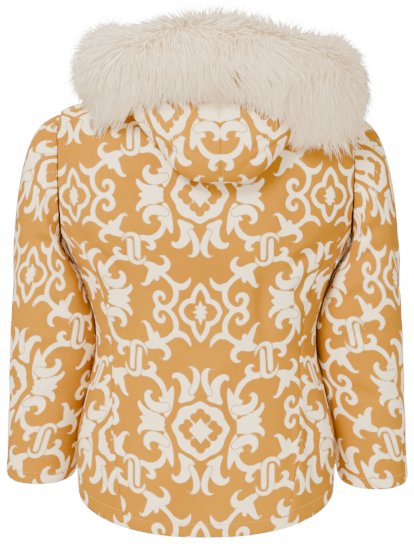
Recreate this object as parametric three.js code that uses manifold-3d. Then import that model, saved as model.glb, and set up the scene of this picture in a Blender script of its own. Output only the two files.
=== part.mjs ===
// A hooded winter parka, filled out as when worn, with nobody in it.
// Millimetres, +Z up. The front faces -Y and the wearer's left is +X.
// The origin is the middle of the neck, where the wearer carries the coat.
import * as THREE from "three";
import { mergeVertices } from "three/addons/utils/BufferGeometryUtils.js";
import Module from "manifold-3d";

const wasm = await Module();
wasm.setup();

// Driving sizes.
const WALL = 2.4; // outer cloth and lining together
const HOOD_WALL = 1.8;
const BAND_WALL = 1.8;
const SEAM_GAP = 0.3;
const NECK_LEVEL = 755;
const ARMHOLE = { level: 515, halfHeight: 92, spread: 27 }; // spread in degrees round the body
const ARMHOLE_STEP = 12; // degrees round the armhole between one row or column of cloth and the next
const SEAM_TURN = 144; // degrees round the armhole, from its top by the back, where the side seam meets it
const FRONT_TURN = 228; // the same, where the front's upper part starts
const BAND_WIDTH = 52;
const BAND_CLEAR = 0.5;
const BUTTON_CLEAR = 0.5;
const FRONT_EDGE = 0.35; // half of the slit between the two fronts
const BUTTON = { radius: 11, thick: 3.6, foot: 1, lip: 0.8, rim: 2.4, dish: 1, sides: 12 };
const BUTTON_ROW = { count: 5, lowest: 70, highest: 690 }; // levels up the front
const RADIANS = Math.PI / 180;
// Each direction is worked out from points this far apart on either side.
const NUDGE = { turn: 0.5, length: 1, hoodTurn: 0.4, hoodShare: 0.004, fur: 0.1 };
const MERGE_WITHIN = 1e-4;
const RING_DIP = 1.35; // how roundly a ring's height changes from the sides to the middle

const CLOTH = { color: 0xe3a32a, roughness: 0.9, metalness: 0 };
const FUR = { color: 0xe6dfcf, roughness: 1, metalness: 0 };
const HORN = { color: 0x5a3d22, roughness: 0.45, metalness: 0 };

// A table with named columns, read at any place in its first column by a smooth curve through its rows.
function readTable(columns, rows) {
  const at = rows.map((row) => row[0]);
  const last = rows.length - 1;
  const slope = (k, c) => {
    const low = Math.max(k - 1, 0);
    const high = Math.min(k + 1, last);
    return (rows[high][c] - rows[low][c]) / (at[high] - at[low]);
  };
  return (place) => {
    let k = 0;
    while (k < last - 1 && place > at[k + 1]) k += 1;
    const step = at[k + 1] - at[k];
    const t = THREE.MathUtils.clamp((place - at[k]) / step, 0, 1);
    const row = {};
    for (let c = 1; c < columns.length; c += 1) {
      const rise = t * t * (3 - 2 * t);
      const leave = t * (1 - t) * (1 - t) * step * slope(k, c);
      const arrive = t * t * (t - 1) * step * slope(k + 1, c);
      row[columns[c]] = rows[k][c] + rise * (rows[k + 1][c] - rows[k][c]) + leave + arrive;
    }
    return row;
  };
}

// Rings round the body, from the hem up over the shoulders to the neck seam.
const bodyRing = readTable(
  ["level", "sideX", "sideZ", "backY", "backZ", "frontY", "frontZ", "square"],
  [
    [0, 193, -616, 140, -663, -136, -628, 2.3],
    [100, 193, -530, 132, -563, -131, -535, 2.3],
    [170, 178, -458, 122, -490, -126, -468, 2.3],
    [245, 165, -390, 113, -410, -124, -398, 2.25],
    [310, 176, -327, 118, -340, -130, -335, 2.25],
    [370, 195, -275, 126, -275, -134, -275, 2.3],
    [425, 220, -222, 129, -215, -131, -222, 2.4],
    [500, 241, -150, 125, -145, -120, -165, 2.4],
    [565, 238, -88, 112, -88, -104, -122, 2.3],
    [605, 221, -45, 99, -56, -92, -98, 2.2],
    [650, 175, -25, 88, -35, -84, -84, 2.15],
    [705, 125, -6, 76, -17, -78, -74, 2.1],
    [NECK_LEVEL, 79, 12, 62, 0, -72, -64, 2],
  ],
);

// Degrees from the centre back to the side seam.
const sideSeam = readTable(
  ["level", "angle"],
  [
    [0, 34],
    [100, 40],
    [170, 48],
    [245, 56],
    [310, 57],
    [370, 59],
    [armholePlace(SEAM_TURN, 1).level, armholePlace(SEAM_TURN, 1).angle],
  ],
);

// Rings down a sleeve. Outer and inner are its outline from behind, and the ring leans down
// by tilt degrees at the back.
const sleeveRing = readTable(
  ["along", "outerX", "outerZ", "innerX", "innerZ", "midY", "halfY", "tilt", "square"],
  [
    [0, 221, -45, 221, -223, 2, 68, 0, 2.1],
    [30, 249, -61, 223, -238, 1, 70, 0, 2.1],
    [70, 270, -95, 215, -254, -2, 72, 0, 2.15],
    [120, 284, -142, 203, -272, -7, 73, 2, 2.2],
    [180, 292, -198, 190, -294, -13, 72, 4, 2.2],
    [240, 295, -256, 178, -328, -19, 71, 6, 2.2],
    [310, 297, -325, 169, -374, -25, 70, 8, 2.2],
    [370, 300, -384, 168, -414, -29, 69, 10, 2.2],
    [430, 303, -442, 179, -462, -35, 66, 12, 2.2],
    [490, 307, -500, 192, -514, -43, 64, 13, 2.2],
    [590, 311, -594, 202, -594, -60, 62, 13, 2.2],
  ],
);
const SLEEVE_LENGTH = 590;
const SLEEVE_BLEND = 110; // the sleeve leaves the armhole's own outline over this length
const SLEEVE_HEAD = 6; // mm down the sleeve, where its cloth already runs its own way
// How far each cuff hangs out and down.
const SLEEVE_POSE = { left: { swing: 0, drop: 0 }, right: { swing: 3, drop: 8 } };
const SLEEVE = { rows: 17, columns: 360 / ARMHOLE_STEP };
const SLEEVE_SPREAD = 1.15; // rows lie closer together near the armhole

// The hood, by degrees round the neck from the centre back: the lowest level that its pouch reaches,
// the pouch's thickness, and the level and distance from the body of its edge.
const hoodRow = readTable(
  ["angle", "lowLevel", "thick", "edgeLevel", "edgeOut"],
  [
    [-9, 491, 36, 618, 56],
    [0, 481, 36, 618, 56],
    [9, 491, 36, 618, 56],
    [20, 546, 35, 622, 54],
    [30, 586, 32, 632, 50],
    [45, 630, 26, 655, 42],
    [60, 668, 20, 684, 32],
    [80, 706, 14, 715, 22],
    [110, 728, 10, 735, 16],
    [176, 738, 6, 742, 9],
  ],
);
const HOOD_FRONT = 174; // degrees from the centre back to the hood's front edge
const HOOD_CLEAR = 5.5; // between the hood's folded cloth and the body
const POUCH_ENDS = { from: 50, to: 84 }; // the pouch turns into a plain stand between these degrees
// The roll at the neck: how far it rises over the seam and stands out, and where the cloth then falls to.
const HOOD_ROLL = { rise: 11, lean: 2, out: 9, fall: 8, fallOut: 10, layLevel: 715, layOut: 6.5 };
const HOOD_LAYERS = { down: [0.3, 0.65, 0.92], up: [0.14, 0.55], bulge: 0.75 };
const HOOD_STAND = { height: 14, bend: 2.2 };
const HOOD_LIFT = { below: 20, above: 5 }; // the cloth leaves the body's own direction over these levels
// The hood lies askew: its seam is turned by so many degrees, and the rest a little more.
const HOOD_SKEW = { seam: 3, perDegree: 0.12, fadeFrom: 45, fadeTo: 90, startsAt: 0.3, fullAt: 0.75 };
const HOOD = { rows: 14, columns: 24 };
const HOOD_SPREAD = 1.1; // rows lie closer together near the hood's seam

// The fur ruff's middle line and its half-sizes across and up, from the wearer's left front by the back.
const furRow = readTable(
  ["along", "x", "y", "z", "across", "up"],
  [
    [0, 30, -122, -58, 26, 28],
    [1, 76, -102, -24, 42, 42],
    [2, 118, -54, 14, 46, 46],
    [3, 143, 10, 30, 48, 52],
    [4, 132, 84, 2, 58, 74],
    [5, 66, 124, 13, 58, 66],
    [6, -20, 136, 21, 58, 65],
    [7, -104, 126, -3, 62, 70],
    [8, -168, 90, -22, 66, 83],
    [9, -182, 12, 8, 54, 64],
    [10, -146, -54, 0, 48, 54],
    [11, -88, -104, -34, 42, 42],
    [12, -36, -124, -62, 26, 28],
  ],
);
const FUR_ROWS = 12;
const FUR_STEPS = 36;
const FUR_SIDES = 14;
const FUR_CLEAR = 0.6;
// The filled body form that the fur is cut to: its clearance, its rings and its lowest level.
const FUR_SEAT = { clear: 1.6, sides: 48, levels: 20, lowest: 380 };

// The largest soft folds of the body: where each lies, how far it reaches to its sides and along,
// how much it leans for each level and how far it stands out.
const FOLDS = [
  { angle: -27, level: 330, halfAngle: 9, halfLevel: 62, lean: 0.02, height: -5 },
  { angle: 30, level: 345, halfAngle: 9, halfLevel: 55, lean: -0.03, height: -4 },
  { angle: -52, level: 396, halfAngle: 9, halfLevel: 30, lean: -0.25, height: -5 },
  { angle: 52, level: 396, halfAngle: 9, halfLevel: 30, lean: 0.25, height: -5 },
  { angle: -36, level: 110, halfAngle: 11, halfLevel: 70, lean: 0.04, height: 5 },
  { angle: 22, level: 60, halfAngle: 10, halfLevel: 60, lean: 0.02, height: 4 },
  { angle: 150, level: 250, halfAngle: 10, halfLevel: 60, lean: 0.02, height: -4 },
  { angle: -146, level: 230, halfAngle: 10, halfLevel: 60, lean: -0.02, height: -4 },
];

const vector = (x, y, z) => new THREE.Vector3(x, y, z);
const power = (value, exponent) => Math.sign(value) * Math.abs(value) ** exponent;
const ease = (from, to, value) => THREE.MathUtils.smoothstep(value, from, to);
const mix = THREE.MathUtils.lerp;

function foldHeight(angle, level) {
  return FOLDS.reduce((sum, fold) => {
    const up = level - fold.level;
    const beside = (angle - fold.angle - fold.lean * up) / fold.halfAngle;
    return sum + fold.height * Math.exp(-beside * beside - (up / fold.halfLevel) ** 2);
  }, 0);
}

// A point of the body's outer face, at so many degrees from the centre back.
function bodyPoint(angle, level) {
  const ring = bodyRing(level);
  const across = Math.sin(angle * RADIANS);
  const deep = Math.cos(angle * RADIANS);
  const atBack = deep >= 0;
  const reach = Math.abs(deep) ** (2 / ring.square);
  const fold = foldHeight(angle, level);
  const x = ring.sideX * power(across, 2 / ring.square) + fold * across;
  const y = reach * (atBack ? ring.backY : ring.frontY) + fold * deep;
  const z = mix(ring.sideZ, atBack ? ring.backZ : ring.frontZ, Math.abs(deep) ** RING_DIP);
  return vector(x, y, z);
}

// The outward direction of any surface that takes two places, from points a small step apart.
function outward(surface, u, v, stepU, stepV) {
  const across = surface(u + stepU, v).sub(surface(u - stepU, v));
  const along = surface(u, v + stepV).sub(surface(u, v - stepV));
  return along.cross(across).normalize();
}

function bodyNormal(angle, level) {
  const held = THREE.MathUtils.clamp(level, NUDGE.length, NECK_LEVEL - NUDGE.length);
  return outward(bodyPoint, angle, held, NUDGE.turn, NUDGE.length);
}

// A place on the armhole, in degrees round it from its top by the back.
function armholePlace(turn, side) {
  const level = ARMHOLE.level + ARMHOLE.halfHeight * Math.cos(turn * RADIANS);
  const angle = side * (90 - ARMHOLE.spread * Math.sin(turn * RADIANS));
  return { angle, level };
}

function sleevePoint(turn, along, side) {
  const ring = sleeveRing(along);
  const first = sleeveRing(0);
  const pose = side > 0 ? SLEEVE_POSE.left : SLEEVE_POSE.right;
  const hang = ease(0, SLEEVE_LENGTH, along);
  const at = (row) => {
    const out = power(Math.cos(turn * RADIANS), 2 / row.square);
    const back = power(Math.sin(turn * RADIANS), 2 / row.square);
    const x = mix(row.innerX, row.outerX, (1 + out) / 2);
    const y = row.midY + back * row.halfY * Math.cos(row.tilt * RADIANS);
    const lean = back * row.halfY * Math.sin(row.tilt * RADIANS);
    return vector(side * x, y, mix(row.innerZ, row.outerZ, (1 + out) / 2) - lean);
  };
  const place = armholePlace(turn, side);
  const fault = bodyPoint(place.angle, place.level).sub(at(first));
  const point = at(ring).add(fault.multiplyScalar(1 - ease(0, SLEEVE_BLEND, along)));
  return point.add(vector(side * pose.swing * hang, 0, -pose.drop * hang));
}

function sleeveNormal(turn, along, side) {
  const held = THREE.MathUtils.clamp(along, NUDGE.length, SLEEVE_LENGTH - NUDGE.length);
  const face = (u, v) => sleevePoint(u, v, side);
  return outward(face, turn, held, NUDGE.turn, NUDGE.length).multiplyScalar(side);
}

// Both cloths at a seam end in one direction, half-way between their own.
function armholeNormal(turn, side) {
  const place = armholePlace(turn, side);
  const sleeve = sleeveNormal(turn, SLEEVE_HEAD, side);
  return bodyNormal(place.angle, place.level).add(sleeve).normalize();
}

// A point of the hood's outer face: a place beside the body, or above the neck seam past its level.
function besideBody(angle, level, out) {
  const onBody = Math.min(level, NECK_LEVEL);
  const point = bodyPoint(angle, onBody);
  const sideways = vector(point.x, point.y, 0).normalize();
  const lift = ease(NECK_LEVEL - HOOD_LIFT.below, NECK_LEVEL + HOOD_LIFT.above, level);
  const normal = bodyNormal(angle, onBody).lerp(sideways, lift).normalize();
  return point.addScaledVector(normal, out).add(vector(0, 0, Math.max(level - NECK_LEVEL, 0)));
}

// The hood's path at an angle: places of [level, distance from the body], from the neck seam over the fold,
// down to the pouch's low end and up to the edge.
function hoodPath(angle) {
  const { lowLevel, thick, edgeLevel, edgeOut } = hoodRow(Math.abs(angle));
  const { rise, lean, out, fall, fallOut, layLevel, layOut } = HOOD_ROLL;
  const down = HOOD_LAYERS.down.map((share) => mix(layLevel, lowLevel, share));
  const up = HOOD_LAYERS.up.map((share) => mix(lowLevel, edgeLevel, share));
  const outerOut = HOOD_CLEAR + thick;
  const pouch = [
    [NECK_LEVEL + SEAM_GAP, 0],
    [NECK_LEVEL + rise - 1, lean],
    [NECK_LEVEL + rise, out],
    [NECK_LEVEL - fall, fallOut],
    [layLevel, layOut],
    [down[0], HOOD_CLEAR],
    [down[1], HOOD_CLEAR],
    [down[2], HOOD_CLEAR + 1],
    [lowLevel, HOOD_CLEAR + thick / 2],
    [up[0], outerOut],
    [up[1], mix(outerOut, edgeOut, HOOD_LAYERS.bulge)],
    [edgeLevel, edgeOut],
  ];
  const stand = pouch.map((_, k) => {
    const t = k / (pouch.length - 1);
    const height = HOOD_STAND.height * Math.sin((t * Math.PI) / HOOD_STAND.bend);
    return [NECK_LEVEL + SEAM_GAP + height, edgeOut * t * t];
  });
  const plain = ease(POUCH_ENDS.from, POUCH_ENDS.to, Math.abs(angle));
  const places = pouch.map(([level, away], k) => {
    return vector(mix(level, stand[k][0], plain), mix(away, stand[k][1], plain), 0);
  });
  return new THREE.CatmullRomCurve3(places, false, "centripetal");
}

function hoodPoint(angle, along) {
  const held = THREE.MathUtils.clamp(along, 0, 1);
  const place = hoodPath(angle).getPoint(held);
  const fade = 1 - ease(HOOD_SKEW.fadeFrom, HOOD_SKEW.fadeTo, Math.abs(angle));
  const begun = ease(HOOD_SKEW.startsAt, HOOD_SKEW.fullAt, held);
  const skew = (HOOD_SKEW.seam + HOOD_SKEW.perDegree * Math.abs(angle)) * fade * begun;
  return besideBody(angle - skew, place.x, place.y);
}

function hoodNormal(angle, along) {
  const held = THREE.MathUtils.clamp(along, NUDGE.hoodShare, 1 - NUDGE.hoodShare);
  return outward(hoodPoint, angle, held, NUDGE.hoodTurn, NUDGE.hoodShare);
}

// A closed solid from triangles over a list of points.
function solidMesh(points, triangles) {
  const geometry = new THREE.BufferGeometry();
  const numbers = points.flatMap((p) => [p.x, p.y, p.z]);
  geometry.setAttribute("position", new THREE.Float32BufferAttribute(numbers, 3));
  geometry.setIndex(triangles);
  geometry.computeVertexNormals();
  return geometry;
}

// Cloth over a grid of places: an outer face, an inner face one wall further in, and a rim along each
// free edge. place(row, column) gives the outer point and its outward direction, and has(row, column)
// says which squares exist.
function clothGeometry({ rows, columns, place, has = () => true, wraps = false, wall = WALL, grow = 0 }) {
  const wide = wraps ? columns : columns + 1;
  const index = (r, c) => r * wide + (wraps ? c % columns : c);
  const outer = [];
  const inner = [];
  const squares = [];
  const ends = new Map(); // for each edge point, the way the edge runs there and a step into the cloth
  for (let r = 0; r <= rows; r += 1) {
    for (let c = 0; c < wide; c += 1) {
      const { point, normal } = place(r, c);
      outer.push({ point, normal });
    }
  }
  for (let r = 0; r < rows; r += 1) {
    for (let c = 0; c < columns; c += 1) {
      if (has(r, c)) squares.push([index(r, c), index(r, c + 1), index(r + 1, c + 1), index(r + 1, c)]);
    }
  }
  const edges = new Map();
  for (const square of squares) {
    square.forEach((a, k) => {
      const b = square[(k + 1) % 4];
      if (edges.has(`${b},${a}`)) edges.delete(`${b},${a}`);
      else edges.set(`${a},${b}`, [a, b, square[(k + 3) % 4], square[(k + 2) % 4]]);
    });
  }
  for (const [a, b, besideA, besideB] of edges.values()) {
    for (const [end, beside] of [[a, besideA], [b, besideB]]) {
      if (!ends.has(end)) ends.set(end, { run: vector(0, 0, 0), step: vector(0, 0, 0) });
      ends.get(end).run.add(outer[b].point.clone().sub(outer[a].point).normalize());
      ends.get(end).step.add(outer[beside].point.clone().sub(outer[end].point).normalize());
    }
  }
  const shifts = [...ends].map(([end, { run, step }]) => {
    const square = outer[end].normal.clone().cross(run).normalize();
    return [end, square.multiplyScalar(Math.sign(square.dot(step)) * (SEAM_GAP / 2 - grow))];
  });
  for (const [end, shift] of shifts) outer[end].point.add(shift);
  for (const { point, normal } of outer) {
    inner.push(point.clone().addScaledVector(normal, -wall - grow));
    point.addScaledVector(normal, grow);
  }
  const used = new Map();
  const points = [];
  const number = (k, isInner) => {
    const key = isInner ? -k - 1 : k;
    if (!used.has(key)) {
      used.set(key, points.length);
      points.push(isInner ? inner[k] : outer[k].point);
    }
    return used.get(key);
  };
  const triangles = [];
  const addSquare = (a, b, c, d) => triangles.push(a, b, c, a, c, d);
  const middle = squares[Math.floor(squares.length / 2)];
  const [p, q, , s] = middle.map((k) => outer[k].point);
  const facing = q.clone().sub(p).cross(s.clone().sub(p)).dot(outer[middle[0]].normal) > 0;
  for (const square of squares) {
    const [a, b, c, d] = facing ? square : [...square].reverse();
    addSquare(number(a), number(b), number(c), number(d));
    addSquare(number(c, true), number(b, true), number(a, true), number(d, true));
  }
  for (const [a, b] of edges.values()) {
    const [from, to] = facing ? [b, a] : [a, b];
    addSquare(number(from), number(to), number(to, true), number(from, true));
  }
  return solidMesh(points, triangles);
}

// The rows of the back: level with the armhole's own steps, so that its edge follows them.
const SEAM_ROWS = 12;
const SHOULDER_ROWS = 4;
const BACK_COLUMNS = 22;

function backGeometry() {
  const seamTop = armholePlace(SEAM_TURN, 1);
  const armholeRows = SEAM_TURN / ARMHOLE_STEP;
  const rows = SEAM_ROWS + armholeRows + SHOULDER_ROWS;
  const edge = (r) => {
    if (r <= SEAM_ROWS) {
      const level = (seamTop.level * r) / SEAM_ROWS;
      return { level, angle: sideSeam(level).angle };
    }
    if (r <= SEAM_ROWS + armholeRows) {
      const turn = SEAM_TURN - ARMHOLE_STEP * (r - SEAM_ROWS);
      return { ...armholePlace(turn, 1), turn };
    }
    const share = (r - SEAM_ROWS - armholeRows) / SHOULDER_ROWS;
    return { level: mix(armholePlace(0, 1).level, NECK_LEVEL, share), angle: 90 };
  };
  const place = (r, c) => {
    const { level, angle, turn } = edge(r);
    const across = 1 - (2 * c) / BACK_COLUMNS;
    const onArmhole = turn !== undefined && Math.abs(across) === 1;
    const point = bodyPoint(angle * across, level);
    const normal = onArmhole ? armholeNormal(turn, across) : bodyNormal(angle * across, level);
    return { point, normal };
  };
  return clothGeometry({ rows, columns: BACK_COLUMNS, place });
}

// A front runs from its side seam at the back, under the armhole, to the middle of the front.
const UNDER_COLUMNS = (FRONT_TURN - SEAM_TURN) / ARMHOLE_STEP;
const CHEST_COLUMNS = 9;
const FRONT_COLUMNS = UNDER_COLUMNS + CHEST_COLUMNS;
const FRONT_ARMHOLE_ROWS = (360 - FRONT_TURN) / ARMHOLE_STEP;

function frontPlace(r, c) {
  const turn = Math.min(SEAM_TURN + ARMHOLE_STEP * c, FRONT_TURN);
  const chestShare = Math.max(c - UNDER_COLUMNS, 0) / CHEST_COLUMNS;
  if (r <= SEAM_ROWS) {
    const top = armholePlace(turn, 1);
    const up = r / SEAM_ROWS;
    const level = top.level * up;
    const seam = sideSeam(level).angle;
    const topSeam = sideSeam(top.level).angle;
    const topAngle = mix(top.angle, 180, chestShare);
    const topShare = (topAngle - topSeam) / (180 - topSeam);
    const share = mix(c / FRONT_COLUMNS, topShare, ease(0, 1, up));
    const onArmhole = r === SEAM_ROWS && c <= UNDER_COLUMNS;
    return { angle: mix(seam, 180, share), level, turn: onArmhole ? turn : undefined };
  }
  const step = r - SEAM_ROWS;
  const edgeTurn = Math.min(FRONT_TURN + ARMHOLE_STEP * step, 360);
  const alongShoulder = Math.max(step - FRONT_ARMHOLE_ROWS, 0) / SHOULDER_ROWS;
  const edge = armholePlace(edgeTurn, 1);
  const edgeLevel = mix(edge.level, NECK_LEVEL, alongShoulder);
  const low = armholePlace(FRONT_TURN, 1).level;
  const middleLevel = mix(low, NECK_LEVEL, step / (FRONT_ARMHOLE_ROWS + SHOULDER_ROWS));
  return {
    angle: mix(edge.angle, 180, chestShare),
    level: mix(edgeLevel, middleLevel, ease(0, 1, chestShare)),
    turn: chestShare === 0 && alongShoulder === 0 ? edgeTurn : undefined,
  };
}

function frontGeometry(side) {
  const place = (r, c) => {
    const { angle, level, turn } = frontPlace(r, c);
    const point = bodyPoint(side * angle, level);
    if (c === FRONT_COLUMNS) point.x = side * (FRONT_EDGE - SEAM_GAP / 2);
    const normal = turn === undefined ? bodyNormal(side * angle, level) : armholeNormal(turn, side);
    return { point, normal };
  };
  const has = (r, c) => r < SEAM_ROWS || c >= UNDER_COLUMNS;
  const rows = SEAM_ROWS + FRONT_ARMHOLE_ROWS + SHOULDER_ROWS;
  return clothGeometry({ rows, columns: FRONT_COLUMNS, place, has });
}

function sleeveGeometry(side, grow = 0) {
  const place = (r, c) => {
    const turn = ARMHOLE_STEP * c;
    const along = SLEEVE_LENGTH * (r / SLEEVE.rows) ** SLEEVE_SPREAD;
    const normal = r === 0 ? armholeNormal(turn, side) : sleeveNormal(turn, along, side);
    return { point: sleevePoint(turn, along, side), normal };
  };
  return clothGeometry({ ...SLEEVE, place, wraps: true, grow });
}

function hoodGeometry(side, grow = 0) {
  const place = (r, c) => {
    const angle = side * HOOD_FRONT * (r / HOOD.rows) ** HOOD_SPREAD;
    const along = c / HOOD.columns;
    return { point: hoodPoint(angle, along), normal: hoodNormal(angle, along) };
  };
  return clothGeometry({ ...HOOD, place, wall: HOOD_WALL, grow });
}

// A closed form through rings of points, with a fan over each end.
function ringedGeometry(rings) {
  const sides = rings[0].length;
  const points = rings.flat();
  const triangles = [];
  const index = (k, side) => k * sides + (side % sides);
  for (let side = 0; side < sides; side += 1) {
    for (let k = 0; k < rings.length - 1; k += 1) {
      triangles.push(index(k, side), index(k, side + 1), index(k + 1, side + 1));
      triangles.push(index(k, side), index(k + 1, side + 1), index(k + 1, side));
    }
  }
  for (const [k, flip] of [[0, false], [rings.length - 1, true]]) {
    const sum = rings[k].reduce((total, point) => total.add(point), vector(0, 0, 0));
    const hub = points.push(sum.divideScalar(sides)) - 1;
    for (let side = 0; side < sides; side += 1) {
      const pair = [index(k, side), index(k, side + 1)];
      if (flip) triangles.push(hub, pair[0], pair[1]);
      else triangles.push(hub, pair[1], pair[0]);
    }
  }
  return solidMesh(points, triangles);
}

function furGeometry() {
  const middle = (along) => {
    const row = furRow(along);
    return vector(row.x, row.y, row.z);
  };
  const rings = [];
  for (let k = 0; k <= FUR_STEPS; k += 1) {
    const along = (FUR_ROWS * k) / FUR_STEPS;
    const row = furRow(along);
    const behind = middle(Math.max(along - NUDGE.fur, 0));
    const ahead = middle(Math.min(along + NUDGE.fur, FUR_ROWS)).sub(behind);
    const across = vector(-ahead.y, ahead.x, 0).normalize();
    const up = ahead.clone().cross(across).normalize();
    if (up.z < 0) up.negate();
    const ring = [];
    for (let side = 0; side < FUR_SIDES; side += 1) {
      const turn = (2 * Math.PI * side) / FUR_SIDES;
      const point = middle(along).addScaledVector(across, row.across * Math.cos(turn));
      ring.push(point.addScaledVector(up, row.up * Math.sin(turn)));
    }
    rings.push(ring);
  }
  return ringedGeometry(rings);
}

// The body as one filled form a little larger than its cloth, to cut the fur to what it lies on.
function bodyCutter() {
  const { clear, sides, levels, lowest } = FUR_SEAT;
  const rings = [];
  for (let k = 0; k <= levels; k += 1) {
    const level = mix(lowest, NECK_LEVEL, k / levels);
    const ring = [];
    for (let side = 0; side < sides; side += 1) {
      const angle = (360 * (side + 0.5)) / sides - 180;
      ring.push(bodyPoint(angle, level).addScaledVector(bodyNormal(angle, level), clear));
    }
    rings.push(ring);
  }
  return ringedGeometry(rings);
}

function toManifold(geometry) {
  const bare = geometry.clone().deleteAttribute("normal");
  const merged = mergeVertices(bare, MERGE_WITHIN);
  const vertProperties = merged.attributes.position.array;
  const triVerts = new Uint32Array(merged.index.array);
  const made = new wasm.Manifold(new wasm.Mesh({ numProp: 3, vertProperties, triVerts }));
  if (made.volume() >= 0) return made;
  for (let k = 0; k < triVerts.length; k += 3) {
    [triVerts[k + 1], triVerts[k + 2]] = [triVerts[k + 2], triVerts[k + 1]];
  }
  return new wasm.Manifold(new wasm.Mesh({ numProp: 3, vertProperties, triVerts }));
}

function fromManifold(solid) {
  const { vertProperties, triVerts } = solid.getMesh();
  const geometry = new THREE.BufferGeometry();
  geometry.setAttribute("position", new THREE.BufferAttribute(vertProperties, 3));
  geometry.setIndex(new THREE.BufferAttribute(triVerts, 1));
  geometry.computeVertexNormals();
  return geometry;
}

// The ruff lies on the shoulders and sleeve heads and closes over the hood's edge.
function fittedFur() {
  let fur = toManifold(furGeometry());
  const cutters = [1, -1].flatMap((side) => [hoodGeometry(side, FUR_CLEAR), sleeveGeometry(side, FUR_CLEAR)]);
  for (const cutter of [bodyCutter(), ...cutters]) {
    fur = fur.subtract(toManifold(cutter));
  }
  const parts = fur.decompose().sort((a, b) => b.volume() - a.volume());
  return fromManifold(parts[0]);
}

const BAND = { rows: SEAM_ROWS + FRONT_ARMHOLE_ROWS + SHOULDER_ROWS, columns: 4 };

// The button band lies on both fronts, so it is made from their points moved out.
function bandGeometry() {
  const place = (r, c) => {
    const level = frontPlace(r, FRONT_COLUMNS).level;
    const x = BAND_WIDTH * (c / BAND.columns - 0.5);
    const ring = bodyRing(level);
    const bend = Math.asin((Math.abs(x) / ring.sideX) ** (ring.square / 2)) / RADIANS;
    const angle = 180 - bend * Math.sign(x);
    const normal = bodyNormal(angle, level);
    const point = bodyPoint(angle, level).addScaledVector(normal, BAND_CLEAR + BAND_WALL);
    return { point, normal };
  };
  return clothGeometry({ ...BAND, place, wall: BAND_WALL });
}

function buttonGeometry() {
  const { radius, thick, foot, lip, rim, dish, sides } = BUTTON;
  const profile = [
    [0, 0],
    [radius - foot, 0],
    [radius, foot],
    [radius, thick - lip],
    [radius - lip, thick],
    [radius - rim, thick],
    [radius - rim - dish, thick - dish],
    [0, thick - dish],
  ].map(([x, y]) => new THREE.Vector2(x, y));
  return new THREE.LatheGeometry(profile, sides).rotateX(Math.PI / 2);
}

const parka = new THREE.Group();

function add(name, geometry, finish) {
  const mesh = new THREE.Mesh(geometry, new THREE.MeshStandardMaterial(finish));
  mesh.name = name;
  parka.add(mesh);
  return mesh;
}

add("back_panel", backGeometry(), CLOTH);
add("front_left", frontGeometry(1), CLOTH);
add("front_right", frontGeometry(-1), CLOTH);
add("front_placket", bandGeometry(), CLOTH);
for (let k = 0; k < BUTTON_ROW.count; k += 1) {
  const level = mix(BUTTON_ROW.lowest, BUTTON_ROW.highest, k / (BUTTON_ROW.count - 1));
  const normal = bodyNormal(180, level);
  const button = add(`button_${k + 1}`, buttonGeometry(), HORN);
  const out = BAND_CLEAR + BAND_WALL + BUTTON_CLEAR;
  button.position.copy(bodyPoint(180, level)).addScaledVector(normal, out);
  button.quaternion.setFromUnitVectors(vector(0, 0, 1), normal);
}
add("sleeve_left", sleeveGeometry(1), CLOTH);
add("sleeve_right", sleeveGeometry(-1), CLOTH);
add("hood_left", hoodGeometry(1), CLOTH);
add("hood_right", hoodGeometry(-1), CLOTH);
add("fur_trim", fittedFur(), FUR);

export default parka;
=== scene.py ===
"""A hooded winter parka in printed cotton with a fur ruff, filled out as when worn, with nobody in it.

Sizes are in millimetres in the tables and in metres in the meshes. The front faces -Y, the wearer's left is
+X, and the origin is the middle of the neck. The tables are the part's own, so each piece lies on its solid.
"""
import logging
import math
from collections.abc import Callable
from dataclasses import dataclass, field
from enum import Enum

import bmesh
import bpy
import numpy as np
from mathutils import Matrix, Vector
from mathutils.bvhtree import BVHTree


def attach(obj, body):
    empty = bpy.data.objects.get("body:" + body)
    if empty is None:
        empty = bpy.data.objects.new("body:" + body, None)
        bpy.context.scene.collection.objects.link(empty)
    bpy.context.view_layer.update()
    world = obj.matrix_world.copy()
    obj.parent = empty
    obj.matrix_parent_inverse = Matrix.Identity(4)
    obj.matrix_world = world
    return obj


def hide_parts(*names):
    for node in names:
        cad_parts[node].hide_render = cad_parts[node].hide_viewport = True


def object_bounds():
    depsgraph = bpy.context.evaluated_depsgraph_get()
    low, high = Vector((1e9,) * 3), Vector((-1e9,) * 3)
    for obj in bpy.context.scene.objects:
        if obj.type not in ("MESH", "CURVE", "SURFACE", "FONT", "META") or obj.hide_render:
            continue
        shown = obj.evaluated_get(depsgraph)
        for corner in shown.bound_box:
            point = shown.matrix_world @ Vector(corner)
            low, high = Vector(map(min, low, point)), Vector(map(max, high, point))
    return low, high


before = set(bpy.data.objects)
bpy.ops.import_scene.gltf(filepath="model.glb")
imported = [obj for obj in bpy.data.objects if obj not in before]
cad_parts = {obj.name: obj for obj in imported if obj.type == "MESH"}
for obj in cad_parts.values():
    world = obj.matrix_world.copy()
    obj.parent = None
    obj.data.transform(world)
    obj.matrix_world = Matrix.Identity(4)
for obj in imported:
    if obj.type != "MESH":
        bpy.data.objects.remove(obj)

CAD_BOUNDS = [list(corner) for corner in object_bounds()]
LOG = logging.getLogger("parka")

MM = 0.001
RADIANS = math.pi / 180
SEED = 20
FAR_AWAY = 1e6

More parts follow.
